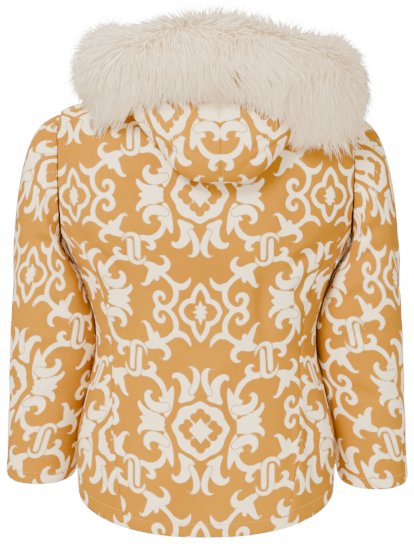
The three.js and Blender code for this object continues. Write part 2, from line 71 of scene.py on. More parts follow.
WALL = 2.2  # a little under the solid's wall, so that the inner face stays inside it
HOOD_WALL = 1.7
BAND_WALL = 1.8
SEAM_GAP = 0.3
CLOTH_STEP = 3.6  # spacing of the cloth's mesh, finer than the narrowest crease
NECK_LEVEL = 755
ARMHOLE_LEVEL, ARMHOLE_HALF_HEIGHT, ARMHOLE_SPREAD = 515, 92, 27
ARMHOLE_STEP = 12
SEAM_TURN = 144
FRONT_TURN = 228
BAND_WIDTH = 52
BAND_CLEAR = 0.5
BAND_STITCH, HEM_STITCH = 5, 20  # from the band's sides and up from the hems
BUTTON_CLEAR = 0.5
FRONT_EDGE = 0.35
BUTTON_LEVELS = np.linspace(70, 690, 5)
HOOD_FRONT = 174
HOOD_CLEAR = 5.5
POUCH_FROM, POUCH_TO = 50, 84
SLEEVE_LENGTH = 590
SLEEVE_BLEND = 110
SLEEVE_POSE = {1: (0, 0), -1: (3, 8)}  # how far each cuff hangs out and down
RING_DIP = 1.35
SEAM_ROWS = 12
SHOULDER_ROWS = 4
PRINT_LEVEL = 500  # where the back's print is laid straight, in the ring table's measure


class Table:
    """A table with named columns, read at any place by a smooth curve through its rows."""

    def __init__(self, columns: str, rows: list[tuple[float, ...]]) -> None:
        """Keeps the columns' names and the rows, the first column being the place."""
        self.columns = columns.split()
        self.rows = np.array(rows, dtype=float)

    def __call__(self, place: np.ndarray | float) -> dict[str, np.ndarray]:
        """Reads every column.

        Args:
            place: where to read, in the first column's own measure.

        Returns:
            Each column's values by name.
        """
        at = self.rows[:, 0]
        last = len(at) - 1
        place = np.asarray(place, dtype=float)
        k = np.clip(np.searchsorted(at, place, side="left") - 1, 0, last - 1)
        step = at[k + 1] - at[k]
        t = np.clip((place - at[k]) / step, 0, 1)
        found = {}
        for c, name in enumerate(self.columns[1:], 1):
            value = self.rows[:, c]
            slopes = []
            for j in (k, k + 1):
                low, high = np.maximum(j - 1, 0), np.minimum(j + 1, last)
                slopes.append((value[high] - value[low]) / (at[high] - at[low]))
            rise = t * t * (3 - 2 * t)
            bend = t * (1 - t) ** 2 * step * slopes[0] + t * t * (t - 1) * step * slopes[1]
            found[name] = value[k] + rise * (value[k + 1] - value[k]) + bend
        return found


BODY_RING = Table("level side_x side_z back_y back_z front_y front_z square", [
    (0, 193, -616, 140, -663, -136, -628, 2.3),
    (100, 193, -530, 132, -563, -131, -535, 2.3),
    (170, 178, -458, 122, -490, -126, -468, 2.3),
    (245, 165, -390, 113, -410, -124, -398, 2.25),
    (310, 176, -327, 118, -340, -130, -335, 2.25),
    (370, 195, -275, 126, -275, -134, -275, 2.3),
    (425, 220, -222, 129, -215, -131, -222, 2.4),
    (500, 241, -150, 125, -145, -120, -165, 2.4),
    (565, 238, -88, 112, -88, -104, -122, 2.3),
    (605, 221, -45, 99, -56, -92, -98, 2.2),
    (650, 175, -25, 88, -35, -84, -84, 2.15),
    (705, 125, -6, 76, -17, -78, -74, 2.1),
    (NECK_LEVEL, 79, 12, 62, 0, -72, -64, 2),
])
SLEEVE_RING = Table("along outer_x outer_z inner_x inner_z mid_y half_y tilt square", [
    (0, 221, -45, 221, -223, 2, 68, 0, 2.1),
    (30, 249, -61, 223, -238, 1, 70, 0, 2.1),
    (70, 270, -95, 215, -254, -2, 72, 0, 2.15),
    (120, 284, -142, 203, -272, -7, 73, 2, 2.2),
    (180, 292, -198, 190, -294, -13, 72, 4, 2.2),
    (240, 295, -256, 178, -328, -19, 71, 6, 2.2),
    (310, 297, -325, 169, -374, -25, 70, 8, 2.2),
    (370, 300, -384, 168, -414, -29, 69, 10, 2.2),
    (430, 303, -442, 179, -462, -35, 66, 12, 2.2),
    (490, 307, -500, 192, -514, -43, 64, 13, 2.2),
    (590, 311, -594, 202, -594, -60, 62, 13, 2.2),
])
HOOD_ROW = Table("angle low_level thick edge_level edge_out", [
    (-9, 491, 36, 618, 56),
    (0, 481, 36, 618, 56),
    (9, 491, 36, 618, 56),
    (20, 546, 35, 622, 54),
    (30, 586, 32, 632, 50),
    (45, 630, 26, 655, 42),
    (60, 668, 20, 684, 32),
    (80, 706, 14, 715, 22),
    (110, 728, 10, 735, 16),
    (176, 738, 6, 742, 9),
])
# The largest folds of the body: angle, level, half angle, half level, lean, height.
FOLDS = (
    (-27, 330, 9, 62, 0.02, -5),
    (30, 345, 9, 55, -0.03, -4),
    (-52, 396, 9, 30, -0.25, -5),
    (52, 396, 9, 30, 0.25, -5),
    (-36, 110, 11, 70, 0.04, 5),
    (22, 60, 10, 60, 0.02, 4),
    (150, 250, 10, 60, 0.02, -4),
    (-146, 230, 10, 60, -0.02, -4),
)


def mix(low: np.ndarray | float, high: np.ndarray | float, share: np.ndarray | float) -> np.ndarray | float:
    """Returns the value a share of the way from low to high."""
    return low + (high - low) * share


def ease(low: float, high: float, value: np.ndarray | float) -> np.ndarray:
    """Returns 0 at low, 1 at high and a soft step between them."""
    t = np.clip((np.asarray(value, dtype=float) - low) / (high - low), 0, 1)
    return t * t * (3 - 2 * t)


def power(value: np.ndarray, exponent: np.ndarray | float) -> np.ndarray:
    """Returns a power that keeps the value's sign."""
    return np.sign(value) * np.abs(value) ** exponent


def unit(vectors: np.ndarray) -> np.ndarray:
    """Returns the vectors at length 1."""
    return vectors / np.maximum(np.linalg.norm(vectors, axis=-1, keepdims=True), 1e-9)


def outward(surface: Callable, u: np.ndarray, v: np.ndarray, step_u: float, step_v: float) -> np.ndarray:
    """Works out a surface's outward direction from points a small step apart.

    Args:
        surface: takes two places and gives points.
        u, v: the places.
        step_u, step_v: how far apart the points lie.

    Returns:
        Unit vectors.
    """
    across = surface(u + step_u, v) - surface(u - step_u, v)
    along = surface(u, v + step_v) - surface(u, v - step_v)
    return unit(np.cross(along, across))


def body_point(angle: np.ndarray, level: np.ndarray) -> np.ndarray:
    """Gives points of the body's outer face.

    Args:
        angle: degrees from the centre back, towards the wearer's left.
        level: height in the ring table's own measure.

    Returns:
        Points in millimetres.
    """
    angle, level = np.broadcast_arrays(np.asarray(angle, float), np.asarray(level, float))
    ring = BODY_RING(level)
    across, deep = np.sin(angle * RADIANS), np.cos(angle * RADIANS)
    fold = np.zeros_like(across)
    for fold_angle, fold_level, half_angle, half_level, lean, height in FOLDS:
        up = level - fold_level
        beside = (angle - fold_angle - lean * up) / half_angle
        fold = fold + height * np.exp(-beside**2 - (up / half_level) ** 2)
    round_by = 2 / ring["square"]
    x = ring["side_x"] * power(across, round_by) + fold * across
    y = np.abs(deep) ** round_by * np.where(deep >= 0, ring["back_y"], ring["front_y"]) + fold * deep
    z = mix(ring["side_z"], np.where(deep >= 0, ring["back_z"], ring["front_z"]), np.abs(deep) ** RING_DIP)
    return np.stack([x, y, z], -1)


def body_normal(angle: np.ndarray, level: np.ndarray) -> np.ndarray:
    """Gives the body's outward direction."""
    return outward(body_point, np.asarray(angle, float), np.clip(level, 1, NECK_LEVEL - 1), 0.5, 1)


def armhole_place(turn: np.ndarray | float, side: int) -> tuple[np.ndarray, np.ndarray]:
    """Gives a place on the rim of an armhole.

    Args:
        turn: degrees round it from its top by the back.
        side: 1 for the left and -1 for the right.

    Returns:
        The body's angles and levels.
    """
    level = ARMHOLE_LEVEL + ARMHOLE_HALF_HEIGHT * np.cos(np.asarray(turn, float) * RADIANS)
    angle = side * (90 - ARMHOLE_SPREAD * np.sin(np.asarray(turn, float) * RADIANS))
    return angle, level


SEAM_TOP = armhole_place(SEAM_TURN, 1)
SIDE_SEAM = Table("level angle", [
    (0, 34), (100, 40), (170, 48), (245, 56), (310, 57), (370, 59), (float(SEAM_TOP[1]), float(SEAM_TOP[0])),
])


def sleeve_point(turn: np.ndarray, along: np.ndarray, side: int) -> np.ndarray:
    """Gives points of a sleeve's outer face.

    Args:
        turn: degrees round it from its top by the back.
        along: millimetres from the shoulder.
        side: 1 for the left and -1 for the right.

    Returns:
        Points in millimetres.
    """
    turn, along = np.broadcast_arrays(np.asarray(turn, float), np.asarray(along, float))
    first = {name: np.full_like(along, value) for name, value in SLEEVE_RING(0.0).items()}

    def at(row: dict[str, np.ndarray]) -> np.ndarray:
        """Gives the points of a ring from its row of the table.

        Args:
            row: the ring's columns by name.

        Returns:
            Points in millimetres.
        """
        out = power(np.cos(turn * RADIANS), 2 / row["square"])
        back = power(np.sin(turn * RADIANS), 2 / row["square"])
        x = mix(row["inner_x"], row["outer_x"], (1 + out) / 2)
        y = row["mid_y"] + back * row["half_y"] * np.cos(row["tilt"] * RADIANS)
        lean = back * row["half_y"] * np.sin(row["tilt"] * RADIANS)
        return np.stack([side * x, y, mix(row["inner_z"], row["outer_z"], (1 + out) / 2) - lean], -1)

    fault = body_point(*armhole_place(turn, side)) - at(first)
    swing, drop = SLEEVE_POSE[side]
    hang = ease(0, SLEEVE_LENGTH, along)
    moved = np.stack([side * swing * hang, 0 * hang, -drop * hang], -1)
    return at(SLEEVE_RING(along)) + fault * (1 - ease(0, SLEEVE_BLEND, along))[..., None] + moved


def sleeve_normal(turn: np.ndarray, along: np.ndarray, side: int) -> np.ndarray:
    """Gives a sleeve's outward direction."""
    held = np.clip(along, 1, SLEEVE_LENGTH - 1)
    return side * outward(lambda u, v: sleeve_point(u, v, side), np.asarray(turn, float), held, 0.5, 1)


def beside_body(angle: np.ndarray, level: np.ndarray, out: np.ndarray) -> np.ndarray:
    """Gives places beside the body, or above the neck seam past its level.

    Args:
        angle, level: a place on the body.
        out: the distance from it.

    Returns:
        Points in millimetres.
    """
    on_body = np.minimum(level, NECK_LEVEL)
    point = body_point(angle, on_body)
    sideways = unit(point * np.array([1.0, 1.0, 0.0]))
    lift = ease(NECK_LEVEL - 20, NECK_LEVEL + 5, level)[..., None]
    normal = unit(mix(body_normal(angle, on_body), sideways, lift))
    above = np.maximum(level - NECK_LEVEL, 0)
    return point + normal * out[..., None] + np.stack([0 * above, 0 * above, above], -1)


def hood_path(angle: np.ndarray, along: np.ndarray) -> tuple[np.ndarray, np.ndarray]:
    """Gives the hood's level and distance from the body, from the neck seam over the fold to the edge.

    Args:
        angle: degrees round the neck from the centre back.
        along: from 0 at the neck seam to 1 at the hood's edge.

    Returns:
        Levels and distances.
    """
    row = HOOD_ROW(np.abs(angle))
    low, thick, edge, edge_out = row["low_level"], row["thick"], row["edge_level"], row["edge_out"]
    outer = HOOD_CLEAR + thick
    flat = np.ones_like(low)
    pouch = [
        ((NECK_LEVEL + SEAM_GAP) * flat, 0 * flat),
        ((NECK_LEVEL + 10) * flat, 2 * flat),
        ((NECK_LEVEL + 11) * flat, 9 * flat),
        ((NECK_LEVEL - 8) * flat, 10 * flat),
        (715 * flat, 6.5 * flat),
        (mix(715, low, 0.3), HOOD_CLEAR * flat),
        (mix(715, low, 0.65), HOOD_CLEAR * flat),
        (mix(715, low, 0.92), (HOOD_CLEAR + 1) * flat),
        (low, HOOD_CLEAR + thick / 2),
        (mix(low, edge, 0.14), outer),
        (mix(low, edge, 0.55), mix(outer, edge_out, 0.75)),
        (edge, edge_out),
    ]
    last = len(pouch) - 1
    plain = ease(POUCH_FROM, POUCH_TO, np.abs(angle))
    places = []
    for k, (level, away) in enumerate(pouch):
        t = k / last
        stand = NECK_LEVEL + SEAM_GAP + 14 * math.sin(t * math.pi / 2.2)
        places.append(np.stack([mix(level, stand, plain), mix(away, edge_out * t * t, plain)], -1))
    places = [2 * places[0] - places[1], *places, 2 * places[last] - places[last - 1]]
    stack = np.stack(places, 0)
    spot = np.clip(along, 0, 1) * last
    k = np.minimum(spot.astype(int), last - 1)
    weight = (spot - k)[..., None]
    near = [np.take_along_axis(stack, (k + j)[None, ..., None].repeat(2, -1), 0)[0] for j in range(4)]
    gap = [np.maximum(np.sum((near[j + 1] - near[j]) ** 2, -1) ** 0.25, 1e-4)[..., None] for j in range(3)]
    slope = [(near[j + 1] - near[j]) / gap[j] for j in range(3)]
    leave = slope[0] - (near[2] - near[0]) / (gap[0] + gap[1]) + slope[1]
    reach = slope[1] - (near[3] - near[1]) / (gap[1] + gap[2]) + slope[2]
    leave, reach = leave * gap[1], reach * gap[1]
    square = -3 * near[1] + 3 * near[2] - 2 * leave - reach
    cube = 2 * near[1] - 2 * near[2] + leave + reach
    point = near[1] + leave * weight + square * weight**2 + cube * weight**3
    return point[..., 0], point[..., 1]


def hood_point(angle: np.ndarray, along: np.ndarray) -> np.ndarray:
    """Gives points of the hood's outer face.

    Args:
        angle: degrees round the neck from the centre back.
        along: from 0 at the neck seam to 1 at the hood's edge.

    Returns:
        Points in millimetres.
    """
    angle, along = np.broadcast_arrays(np.asarray(angle, float), np.asarray(along, float))
    level, out = hood_path(angle, along)
    fade = 1 - ease(45, 90, np.abs(angle))
    skew = (3 + 0.12 * np.abs(angle)) * fade * ease(0.3, 0.75, np.clip(along, 0, 1))
    return beside_body(angle - skew, level, out)


def hood_normal(angle: np.ndarray, along: np.ndarray) -> np.ndarray:
    """Gives the hood's outward direction."""
    return outward(hood_point, np.asarray(angle, float), np.clip(along, 0.004, 0.996), 0.4, 0.004)


# The print

CELL_WIDE, CELL_HIGH = 194, 170  # from a small medallion to the next large one, across and up
# Each scroll is a stroke through places of (across, up, half width), from the small medallion's centre.
SCROLLS = {
    "vine": [(54, 11, 1.4), (52, 15, 2.4), (55, 20, 3.4), (61, 20, 4), (66, 14, 4.3), (64, 6, 4.2),
             (57, 0.5, 4), (49, 1, 3.6), (41, 7, 3.8), (36, 16, 4), (35, 27, 4), (39, 37, 3.8),
             (47, 45, 3.8), (57, 51, 4.4), (65, 56, 5.6)],
    "inner leaf": [(43, 40, 3.4), (35, 36, 4.6), (26, 35, 4.6), (19, 40, 3.8), (15, 47, 2),
                   (14, 53, 0.4)],
    "upper curl": [(65, 58, 4.6), (56, 57, 5.2), (49, 61, 5.2), (47, 68, 4.3), (51, 75, 2.8),
                   (57, 77, 1.4), (61, 74, 0.4)],
    "lower leaf": [(67, 56, 6), (71, 47, 6), (75, 38, 4.8), (79, 31, 3.4), (85, 28, 2), (90, 33, 0.4)],
    "leaf lobe": [(66, 52, 4.6), (63, 43, 4), (64, 38, 1.4)],
    "link": [(66, 58, 6), (74, 60, 6), (81, 62, 3), (85, 64, 1.4)],
    "hook": [(79, 79, 0.4), (80, 72.5, 1.8), (83, 65.5, 2.8), (89.5, 61.2, 3.3), (96.5, 61, 3.7),
             (101.8, 65.5, 4.3), (102.9, 74, 4.5), (102.9, 86, 4.5), (102.9, 98.5, 4.3)],
    "branch": [(91.6, 99, 4.4), (85, 104, 4.4), (76, 103.5, 4.2), (67, 105.5, 4.4), (59, 111, 4.8),
               (54, 119, 4.2), (52.5, 127, 2.8), (57, 133, 0.4)],
    "bud": [(77, 102, 4.2), (71, 98, 4.4), (68, 92, 4.6), (71, 87.5, 3.4), (76, 88, 2), (79, 91.5, 0.4)],
    "stem": [(13, 116, 4.4), (8.6, 108, 4.8), (5.8, 98, 5), (6, 89, 4.8), (9, 83, 3.2), (15, 80.5, 1.8),
             (21, 83, 0.4)],
    "low leaf": [(29, 131, 3.4), (24, 126, 6), (20, 118, 8), (21, 108, 7.4), (25, 100, 6.4),
                 (32, 95.5, 4.8), (38.5, 97, 3), (40, 103, 0.4)],
    "low tip": [(25, 127, 4.4), (16, 125, 4.2), (9, 123, 1.4), (7, 122.5, 0.4)],
    "crescent": [(40, 111, 0.8), (42, 120, 4), (45, 131, 6.2), (47.5, 142, 6.8), (49.5, 151, 5),
                 (51, 160, 0.8)],
    "crescent arm": [(50, 144, 6), (59, 147.5, 7.4), (69, 148, 7.2), (76.5, 142.5, 6), (78.5, 134, 4.4),
                     (74, 128.5, 2.8), (69, 130, 0.4)],
    "crescent tip": [(50, 137, 4.6), (57, 135.5, 3.6), (62, 132.5, 0.5)],
    "side leaf": [(55, 163, 3.4), (65, 163, 5.6), (75, 162, 6), (84.5, 157, 4.8), (90, 150, 3),
                  (88.5, 143.5, 0.4)],
    "side body": [(53, 170, 2), (60, 170, 5), (74, 170, 5.6), (84, 170, 4), (89, 170, 0.8)],
    "star": [(0, 0, 4.4), (0, 8, 3.8), (0, 18.5, 0.4)],
    "star arm": [(0, 0, 4.4), (5, 0, 3.2), (12, 0, 0.4)],
    "star dot": [(4.5, 5.5, 2.2), (6.4, 8, 2.2)],
}
SCROLL_TRIM = 0.4  # taken off the edge of every scroll
SMALL_RING = {"side": (10.5, 16.5), "arch": (14, 34, 23), "cusp": (3, 4), "cusp_share": 0.4, "half": 3.3}
LARGE_DISC = {"radius": 37, "scallops": 2.8, "cusp": 2.2}
LARGE_DIAMOND = {"reach": 19, "bow": 0.85, "line": 0.7}
# The holes of the large medallion's four trefoils, as (out, aside, radius).
TREFOIL = ((25.5, 0, 6.8), (18.6, 8.8, 6.2), (17, 0, 6), (13.4, 6.6, 3.7))
OVER_SCROLLS = ("hook", "crescent arm", "stem")


class Print:
    """The damask scrollwork: how deep each place lies inside the cream shapes, in millimetres."""

    lattice = 0.9

    def __init__(self) -> None:
        """Works the scrolls out once over a quarter of the repeat."""
        across = np.arange(0, CELL_WIDE + self.lattice, self.lattice)
        up = np.arange(0, CELL_HIGH + self.lattice, self.lattice)
        place = np.stack(np.meshgrid(across, up), -1)
        turned = np.array([CELL_WIDE, CELL_HIGH]) - place
        self.shape = place.shape[:2]
        self.depth = np.maximum(self.motif(place), self.motif(turned))
        self.over = np.maximum(self.strokes(place, OVER_SCROLLS), self.strokes(turned, OVER_SCROLLS))

    def strokes(self, place: np.ndarray, names: tuple[str, ...]) -> np.ndarray:
        """Gives the depth inside the named scrolls.

        Args:
            place: points of the quarter repeat.
            names: scrolls of the table.

        Returns:
            Millimetres inside, negative outside.
        """
        best = np.full(place.shape[:2], -99.0)
        for name in names:
            knots = np.array(SCROLLS[name], dtype=float)
            knots = np.vstack([2 * knots[0] - knots[1], knots, 2 * knots[-1] - knots[-2]])
            for k in range(1, len(knots) - 2):
                a, b, c, d = knots[k - 1:k + 3]
                for t in np.linspace(0, 1, 4, endpoint=False):
                    ends = []
                    for s in (t, t + 0.25):
                        ends.append(0.5 * (2 * b + (c - a) * s + (2 * a - 5 * b + 4 * c - d) * s**2
                                           + (3 * b - a - 3 * c + d) * s**3))
                    run = ends[1][:2] - ends[0][:2]
                    share = np.clip((place - ends[0][:2]) @ run / max(run @ run, 1e-6), 0, 1)
                    away = np.linalg.norm(place - ends[0][:2] - share[..., None] * run, axis=-1)
                    best = np.maximum(best, mix(ends[0][2], ends[1][2], share) - away)
        return best

    def motif(self, place: np.ndarray) -> np.ndarray:
        """Gives the depth inside one quarter's own shapes: scrolls, rings, diamond and star.

        Args:
            place: points of the quarter repeat.

        Returns:
            Millimetres inside, negative outside.
        """
        depth = self.strokes(place, tuple(SCROLLS)) - SCROLL_TRIM
        folded = np.abs(place)
        (lobe_out, lobe), (arch_up, arch, arch_aside) = SMALL_RING["side"], SMALL_RING["arch"]
        tip_wide, tip_long = SMALL_RING["cusp"]
        side = lobe - np.hypot(folded[..., 0] - lobe_out, folded[..., 1])
        top = arch - np.hypot(folded[..., 0] + arch_aside, folded[..., 1] - arch_up)
        tip = tip_long * np.clip(1 - folded[..., 1] / tip_wide, 0, 1) * (folded[..., 0] > lobe_out)
        ring = np.maximum(side + SMALL_RING["cusp_share"] * tip, top)
        depth = np.maximum(depth, SMALL_RING["half"] - np.abs(ring))
        from_large = np.abs(place - np.array([0, CELL_HIGH]))
        turn = np.arctan2(from_large[..., 1], from_large[..., 0])
        away = np.linalg.norm(from_large, axis=-1)
        rim = LARGE_DISC["radius"] + LARGE_DISC["scallops"] * np.abs(np.cos(4 * turn))
        disc = rim + LARGE_DISC["cusp"] * np.cos(2 * turn) ** 30 - away
        for out, aside, radius in TREFOIL:
            for spot in ((out, aside), (aside, out)):
                disc = np.minimum(disc, np.linalg.norm(from_large - np.array(spot), axis=-1) - radius)
        bow = LARGE_DIAMOND["bow"]
        diamond = LARGE_DIAMOND["reach"] - np.sum(from_large**bow, -1) ** (1 / bow)
        line = LARGE_DIAMOND["line"]
        disc = np.maximum(np.minimum(disc, np.abs(diamond) - line), diamond - line)
        return np.maximum(depth, disc)

    def read(self, across: np.ndarray, up: np.ndarray) -> tuple[np.ndarray, np.ndarray]:
        """Reads the print at places on the cloth.

        Args:
            across, up: millimetres from the middle of a small medallion.

        Returns:
            The depth inside the cream shapes, and inside the scrolls that lie over others.
        """
        fold_u = np.abs((across + CELL_WIDE) % (2 * CELL_WIDE) - CELL_WIDE)
        fold_v = np.abs((up + CELL_HIGH) % (2 * CELL_HIGH) - CELL_HIGH)
        x, y = fold_u / self.lattice, fold_v / self.lattice
        i = np.clip(x.astype(int), 0, self.shape[1] - 2)
        j = np.clip(y.astype(int), 0, self.shape[0] - 2)
        found = []
        for grid in (self.depth, self.over):
            low = mix(grid[j, i], grid[j, i + 1], x - i)
            high = mix(grid[j + 1, i], grid[j + 1, i + 1], x - i)
            found.append(mix(low, high, y - j))
        return found[0], found[1]


# Finishes


def linear(code: str) -> tuple[float, float, float, float]:
    """Turns an sRGB hex colour to linear values.

    Args:
        code: six hex digits.

    Returns:
        Red, green, blue and 1.
    """
    values = [int(code[k:k + 2], 16) / 255 for k in (0, 2, 4)]
    return (*[v / 12.92 if v <= 0.04045 else ((v + 0.055) / 1.055) ** 2.4 for v in values], 1.0)


def add_node(tree: bpy.types.NodeTree, kind: str, settings: dict | None = None,
             links: dict | None = None) -> bpy.types.Node:
    """Adds a node with its settings and links.

    Args:
        tree: the material's nodes.
        kind: the node's type.
        settings: its own properties.
        links: by input, a socket to link from or a value to set.

    Returns:
        The node.
    """
    node = tree.nodes.new(kind)
    for name, value in (settings or {}).items():
        setattr(node, name, value)
    for key, value in (links or {}).items():
        if isinstance(value, bpy.types.NodeSocket):
            tree.links.new(value, node.inputs[key])
        else:
            node.inputs[key].default_value = value
    return node


def attribute(tree: bpy.types.NodeTree, name: str) -> bpy.types.NodeSocket:
    """Reads a number that the mesh carries at its points."""
    return add_node(tree, "ShaderNodeAttribute", {"attribute_name": name}).outputs["Fac"]


def reckon(tree: bpy.types.NodeTree, operation: str,
           *values: bpy.types.NodeSocket | float) -> bpy.types.NodeSocket:
    """Does one sum on sockets or numbers."""
    return add_node(tree, "ShaderNodeMath", {"operation": operation}, dict(enumerate(values))).outputs[0]


def noise(tree: bpy.types.NodeTree, vector: bpy.types.NodeSocket, scale: float, detail: float,
          distortion: float = 0.0) -> bpy.types.NodeSocket:
    """Gives a cloudy pattern between 0 and 1."""
    return add_node(tree, "ShaderNodeTexNoise", None, {
        "Vector": vector, "Scale": scale, "Detail": detail, "Distortion": distortion}).outputs["Fac"]


def blend(tree: bpy.types.NodeTree, share: bpy.types.NodeSocket | float, first: bpy.types.NodeSocket | tuple,
          second: bpy.types.NodeSocket | tuple, way: str = "MIX") -> bpy.types.NodeSocket:
    """Blends two colours by a share of the second."""
    return add_node(tree, "ShaderNodeMix", {"data_type": "RGBA", "blend_type": way}, {
        0: share, 6: first, 7: second}).outputs[2]


def bring(tree: bpy.types.NodeTree, value: bpy.types.NodeSocket, from_range: tuple[float, float],
          to_range: tuple[float, float] = (0.0, 1.0), soft: bool = False) -> bpy.types.NodeSocket:
    """Brings a value from one range to another.

    Args:
        tree: the material's nodes.
        value: the socket.
        from_range, to_range: what the value spans and what it becomes.
        soft: whether the ends are eased.

    Returns:
        The new value's socket.
    """
    return add_node(tree, "ShaderNodeMapRange", {"interpolation_type": "SMOOTHSTEP" if soft else "LINEAR"}, {
        "Value": value, "From Min": from_range[0], "From Max": from_range[1],
        "To Min": to_range[0], "To Max": to_range[1]}).outputs["Result"]


def raised(tree: bpy.types.NodeTree, height: bpy.types.NodeSocket, strength: float,
           distance: float) -> bpy.types.NodeSocket:
    """Turns a height, in metres at full strength, to a relief of the surface."""
    return add_node(tree, "ShaderNodeBump", None, {
        "Height": height, "Strength": strength, "Distance": distance}).outputs["Normal"]


def surface(tree: bpy.types.NodeTree, look: bpy.types.NodeSocket) -> None:
    """Makes a shader the material's surface."""
    add_node(tree, "ShaderNodeOutputMaterial", None, {"Surface": look})


def new_material(name: str) -> tuple[bpy.types.Material, bpy.types.NodeTree]:
    """Makes an empty node material.

    Args:
        name: the material's name.

    Returns:
        The material and its tree.
    """
    material = bpy.data.materials.new(name)
    material.use_nodes = True
    material.node_tree.nodes.clear()
    return material, material.node_tree


class Face(Enum):
    """Which side of the printed cloth a material is for."""

    OUTER = "right side"
    INNER = "reverse"


@dataclass(frozen=True)
class PrintedCotton:
    """Woven cotton with a pigment print: fine threads, matt and without shine, so that the gold stays deep."""

    ground: str = "B27300"
    ground_worn: str = "A96B00"
    cream: str = "FFE8BA"
    line: str = "A87A1E"
    roughness: float = 0.88
    sheen: float = 0.02
    shine: float = 0.05
    thread: float = 1.4  # mm between threads; the real 0.4 mm is drawn coarser, so that it shows
    relief: float = 0.22
    bleed: float = 0.55  # mm that the ink's edge is soft on each side
    strike_through: float = 0.35  # share of the print that shows on the reverse

    def build(self, face: Face) -> bpy.types.Material:
        """Makes the material.

        Args:
            face: right side or reverse.

        Returns:
            The material.
        """
        material, tree = new_material(f"printed cotton, {face.value}")
        coords = add_node(tree, "ShaderNodeTexCoord")
        depth, over = attribute(tree, "print_depth"), attribute(tree, "print_over")
        blotch = noise(tree, coords.outputs["Object"], 9.0, 3.0)
        uneven = bring(tree, blotch, (0.35, 0.65))
        ground = blend(tree, uneven, linear(self.ground), linear(self.ground_worn))
        inside = bring(tree, depth, (-self.bleed, self.bleed), soft=True)
        away = reckon(tree, "ABSOLUTE", over)
        line = bring(tree, away, (0.5, 1.1), (0.85, 0.0), soft=True)
        if face is Face.INNER:
            inside = reckon(tree, "MULTIPLY", inside, self.strike_through)
            line = reckon(tree, "MULTIPLY", line, 0.3)
        printed = blend(tree, inside, ground, linear(self.cream))
        lined = reckon(tree, "MULTIPLY", line, inside)
        colour = blend(tree, lined, printed, linear(self.line))
        cloth = add_node(tree, "ShaderNodeUVMap", {"uv_map": "Cut"}).outputs["UV"]
        threads = []
        for direction in ("X", "Y"):
            threads.append(add_node(tree, "ShaderNodeTexWave", {
                "wave_type": "BANDS", "bands_direction": direction}, {
                "Vector": cloth, "Scale": 0.314 / (self.thread * MM), "Distortion": 0.6,
                "Detail": 1.0, "Detail Scale": 2.0}).outputs["Fac"])
        weave = reckon(tree, "ADD", *threads)
        slub = noise(tree, cloth, 240.0, 4.0)
        rough = reckon(tree, "MULTIPLY_ADD", slub, 0.9, weave)
        mottled = add_node(tree, "ShaderNodeHueSaturation", None, {
            "Color": colour, "Value": bring(tree, slub, (0.3, 0.7), (0.95, 1.04))}).outputs["Color"]
        shader = add_node(tree, "ShaderNodeBsdfPrincipled", None, {
            "Base Color": mottled, "Roughness": self.roughness, "Sheen Weight": self.sheen,
            "Sheen Roughness": 0.5, "Specular IOR Level": self.shine,
            "Normal": raised(tree, rough, self.relief, 0.0006)})
        surface(tree, shader.outputs["BSDF"])
        return material


@dataclass(frozen=True)
class LongFur:
    """Long-haired fur: cream and matt from root to tip, with a few tan guard hairs and tan painted shade.

    A weak light of its own stands for the light that real hair scatters from one to the next, which keeps the
    hollows between the locks warm and pale.
    """

    pale: str = "FFF6E2"
    cream: str = "FFEED2"
    # tan guard hairs, and painted shade at the ruff's lower corners where it meets the hood
    tan: str = "8A6238"
    root: str = "FFF1D6"
    scattered: str = "FFDCA0"
    through: float = 0.3  # share of the light that passes through a lock
    glow: float = 0.75

    def build(self, strands: bool) -> bpy.types.Material:
        """Makes the material.

        Args:
            strands: whether it is for the locks, whose tint is an attribute, or for the pelt under them.

        Returns:
            The material.
        """
        material, tree = new_material("long fur, locks" if strands else "long fur, pelt")
        coords = add_node(tree, "ShaderNodeTexCoord").outputs["Object"]
        if strands:
            ramp = add_node(tree, "ShaderNodeValToRGB", None, {"Fac": attribute(tree, "tint")})
            stops = ramp.color_ramp.elements
            stops[0].position, stops[0].color = 0.0, linear(self.pale)
            stops[1].position, stops[1].color = 0.9, linear(self.cream)
            dark = stops.new(1.0)
            dark.color = linear(self.tan)
            above_root = bring(tree, attribute(tree, "reach"), (0.0, 0.55))
            colour = blend(tree, above_root, linear(self.root), ramp.outputs["Color"])
        else:
            colour = blend(tree, noise(tree, coords, 60.0, 5.0), linear(self.root), linear(self.pale))
        hair = noise(tree, coords, 420.0, 3.0)
        shader = add_node(tree, "ShaderNodeBsdfPrincipled", None, {
            "Base Color": colour, "Roughness": 0.72, "Sheen Weight": 0.1, "Sheen Roughness": 0.4,
            "Specular IOR Level": 0.15, "Normal": raised(tree, hair, 0.4, 0.001),
            "Emission Color": blend(tree, 1.0, colour, linear(self.scattered), "MULTIPLY"),
            "Emission Strength": self.glow})
        through = add_node(tree, "ShaderNodeBsdfTranslucent", None, {"Color": colour})
        soft = add_node(tree, "ShaderNodeMixShader", None, {
            0: self.through, 1: shader.outputs["BSDF"], 2: through.outputs["BSDF"]})
        surface(tree, soft.outputs["Shader"])
        return material


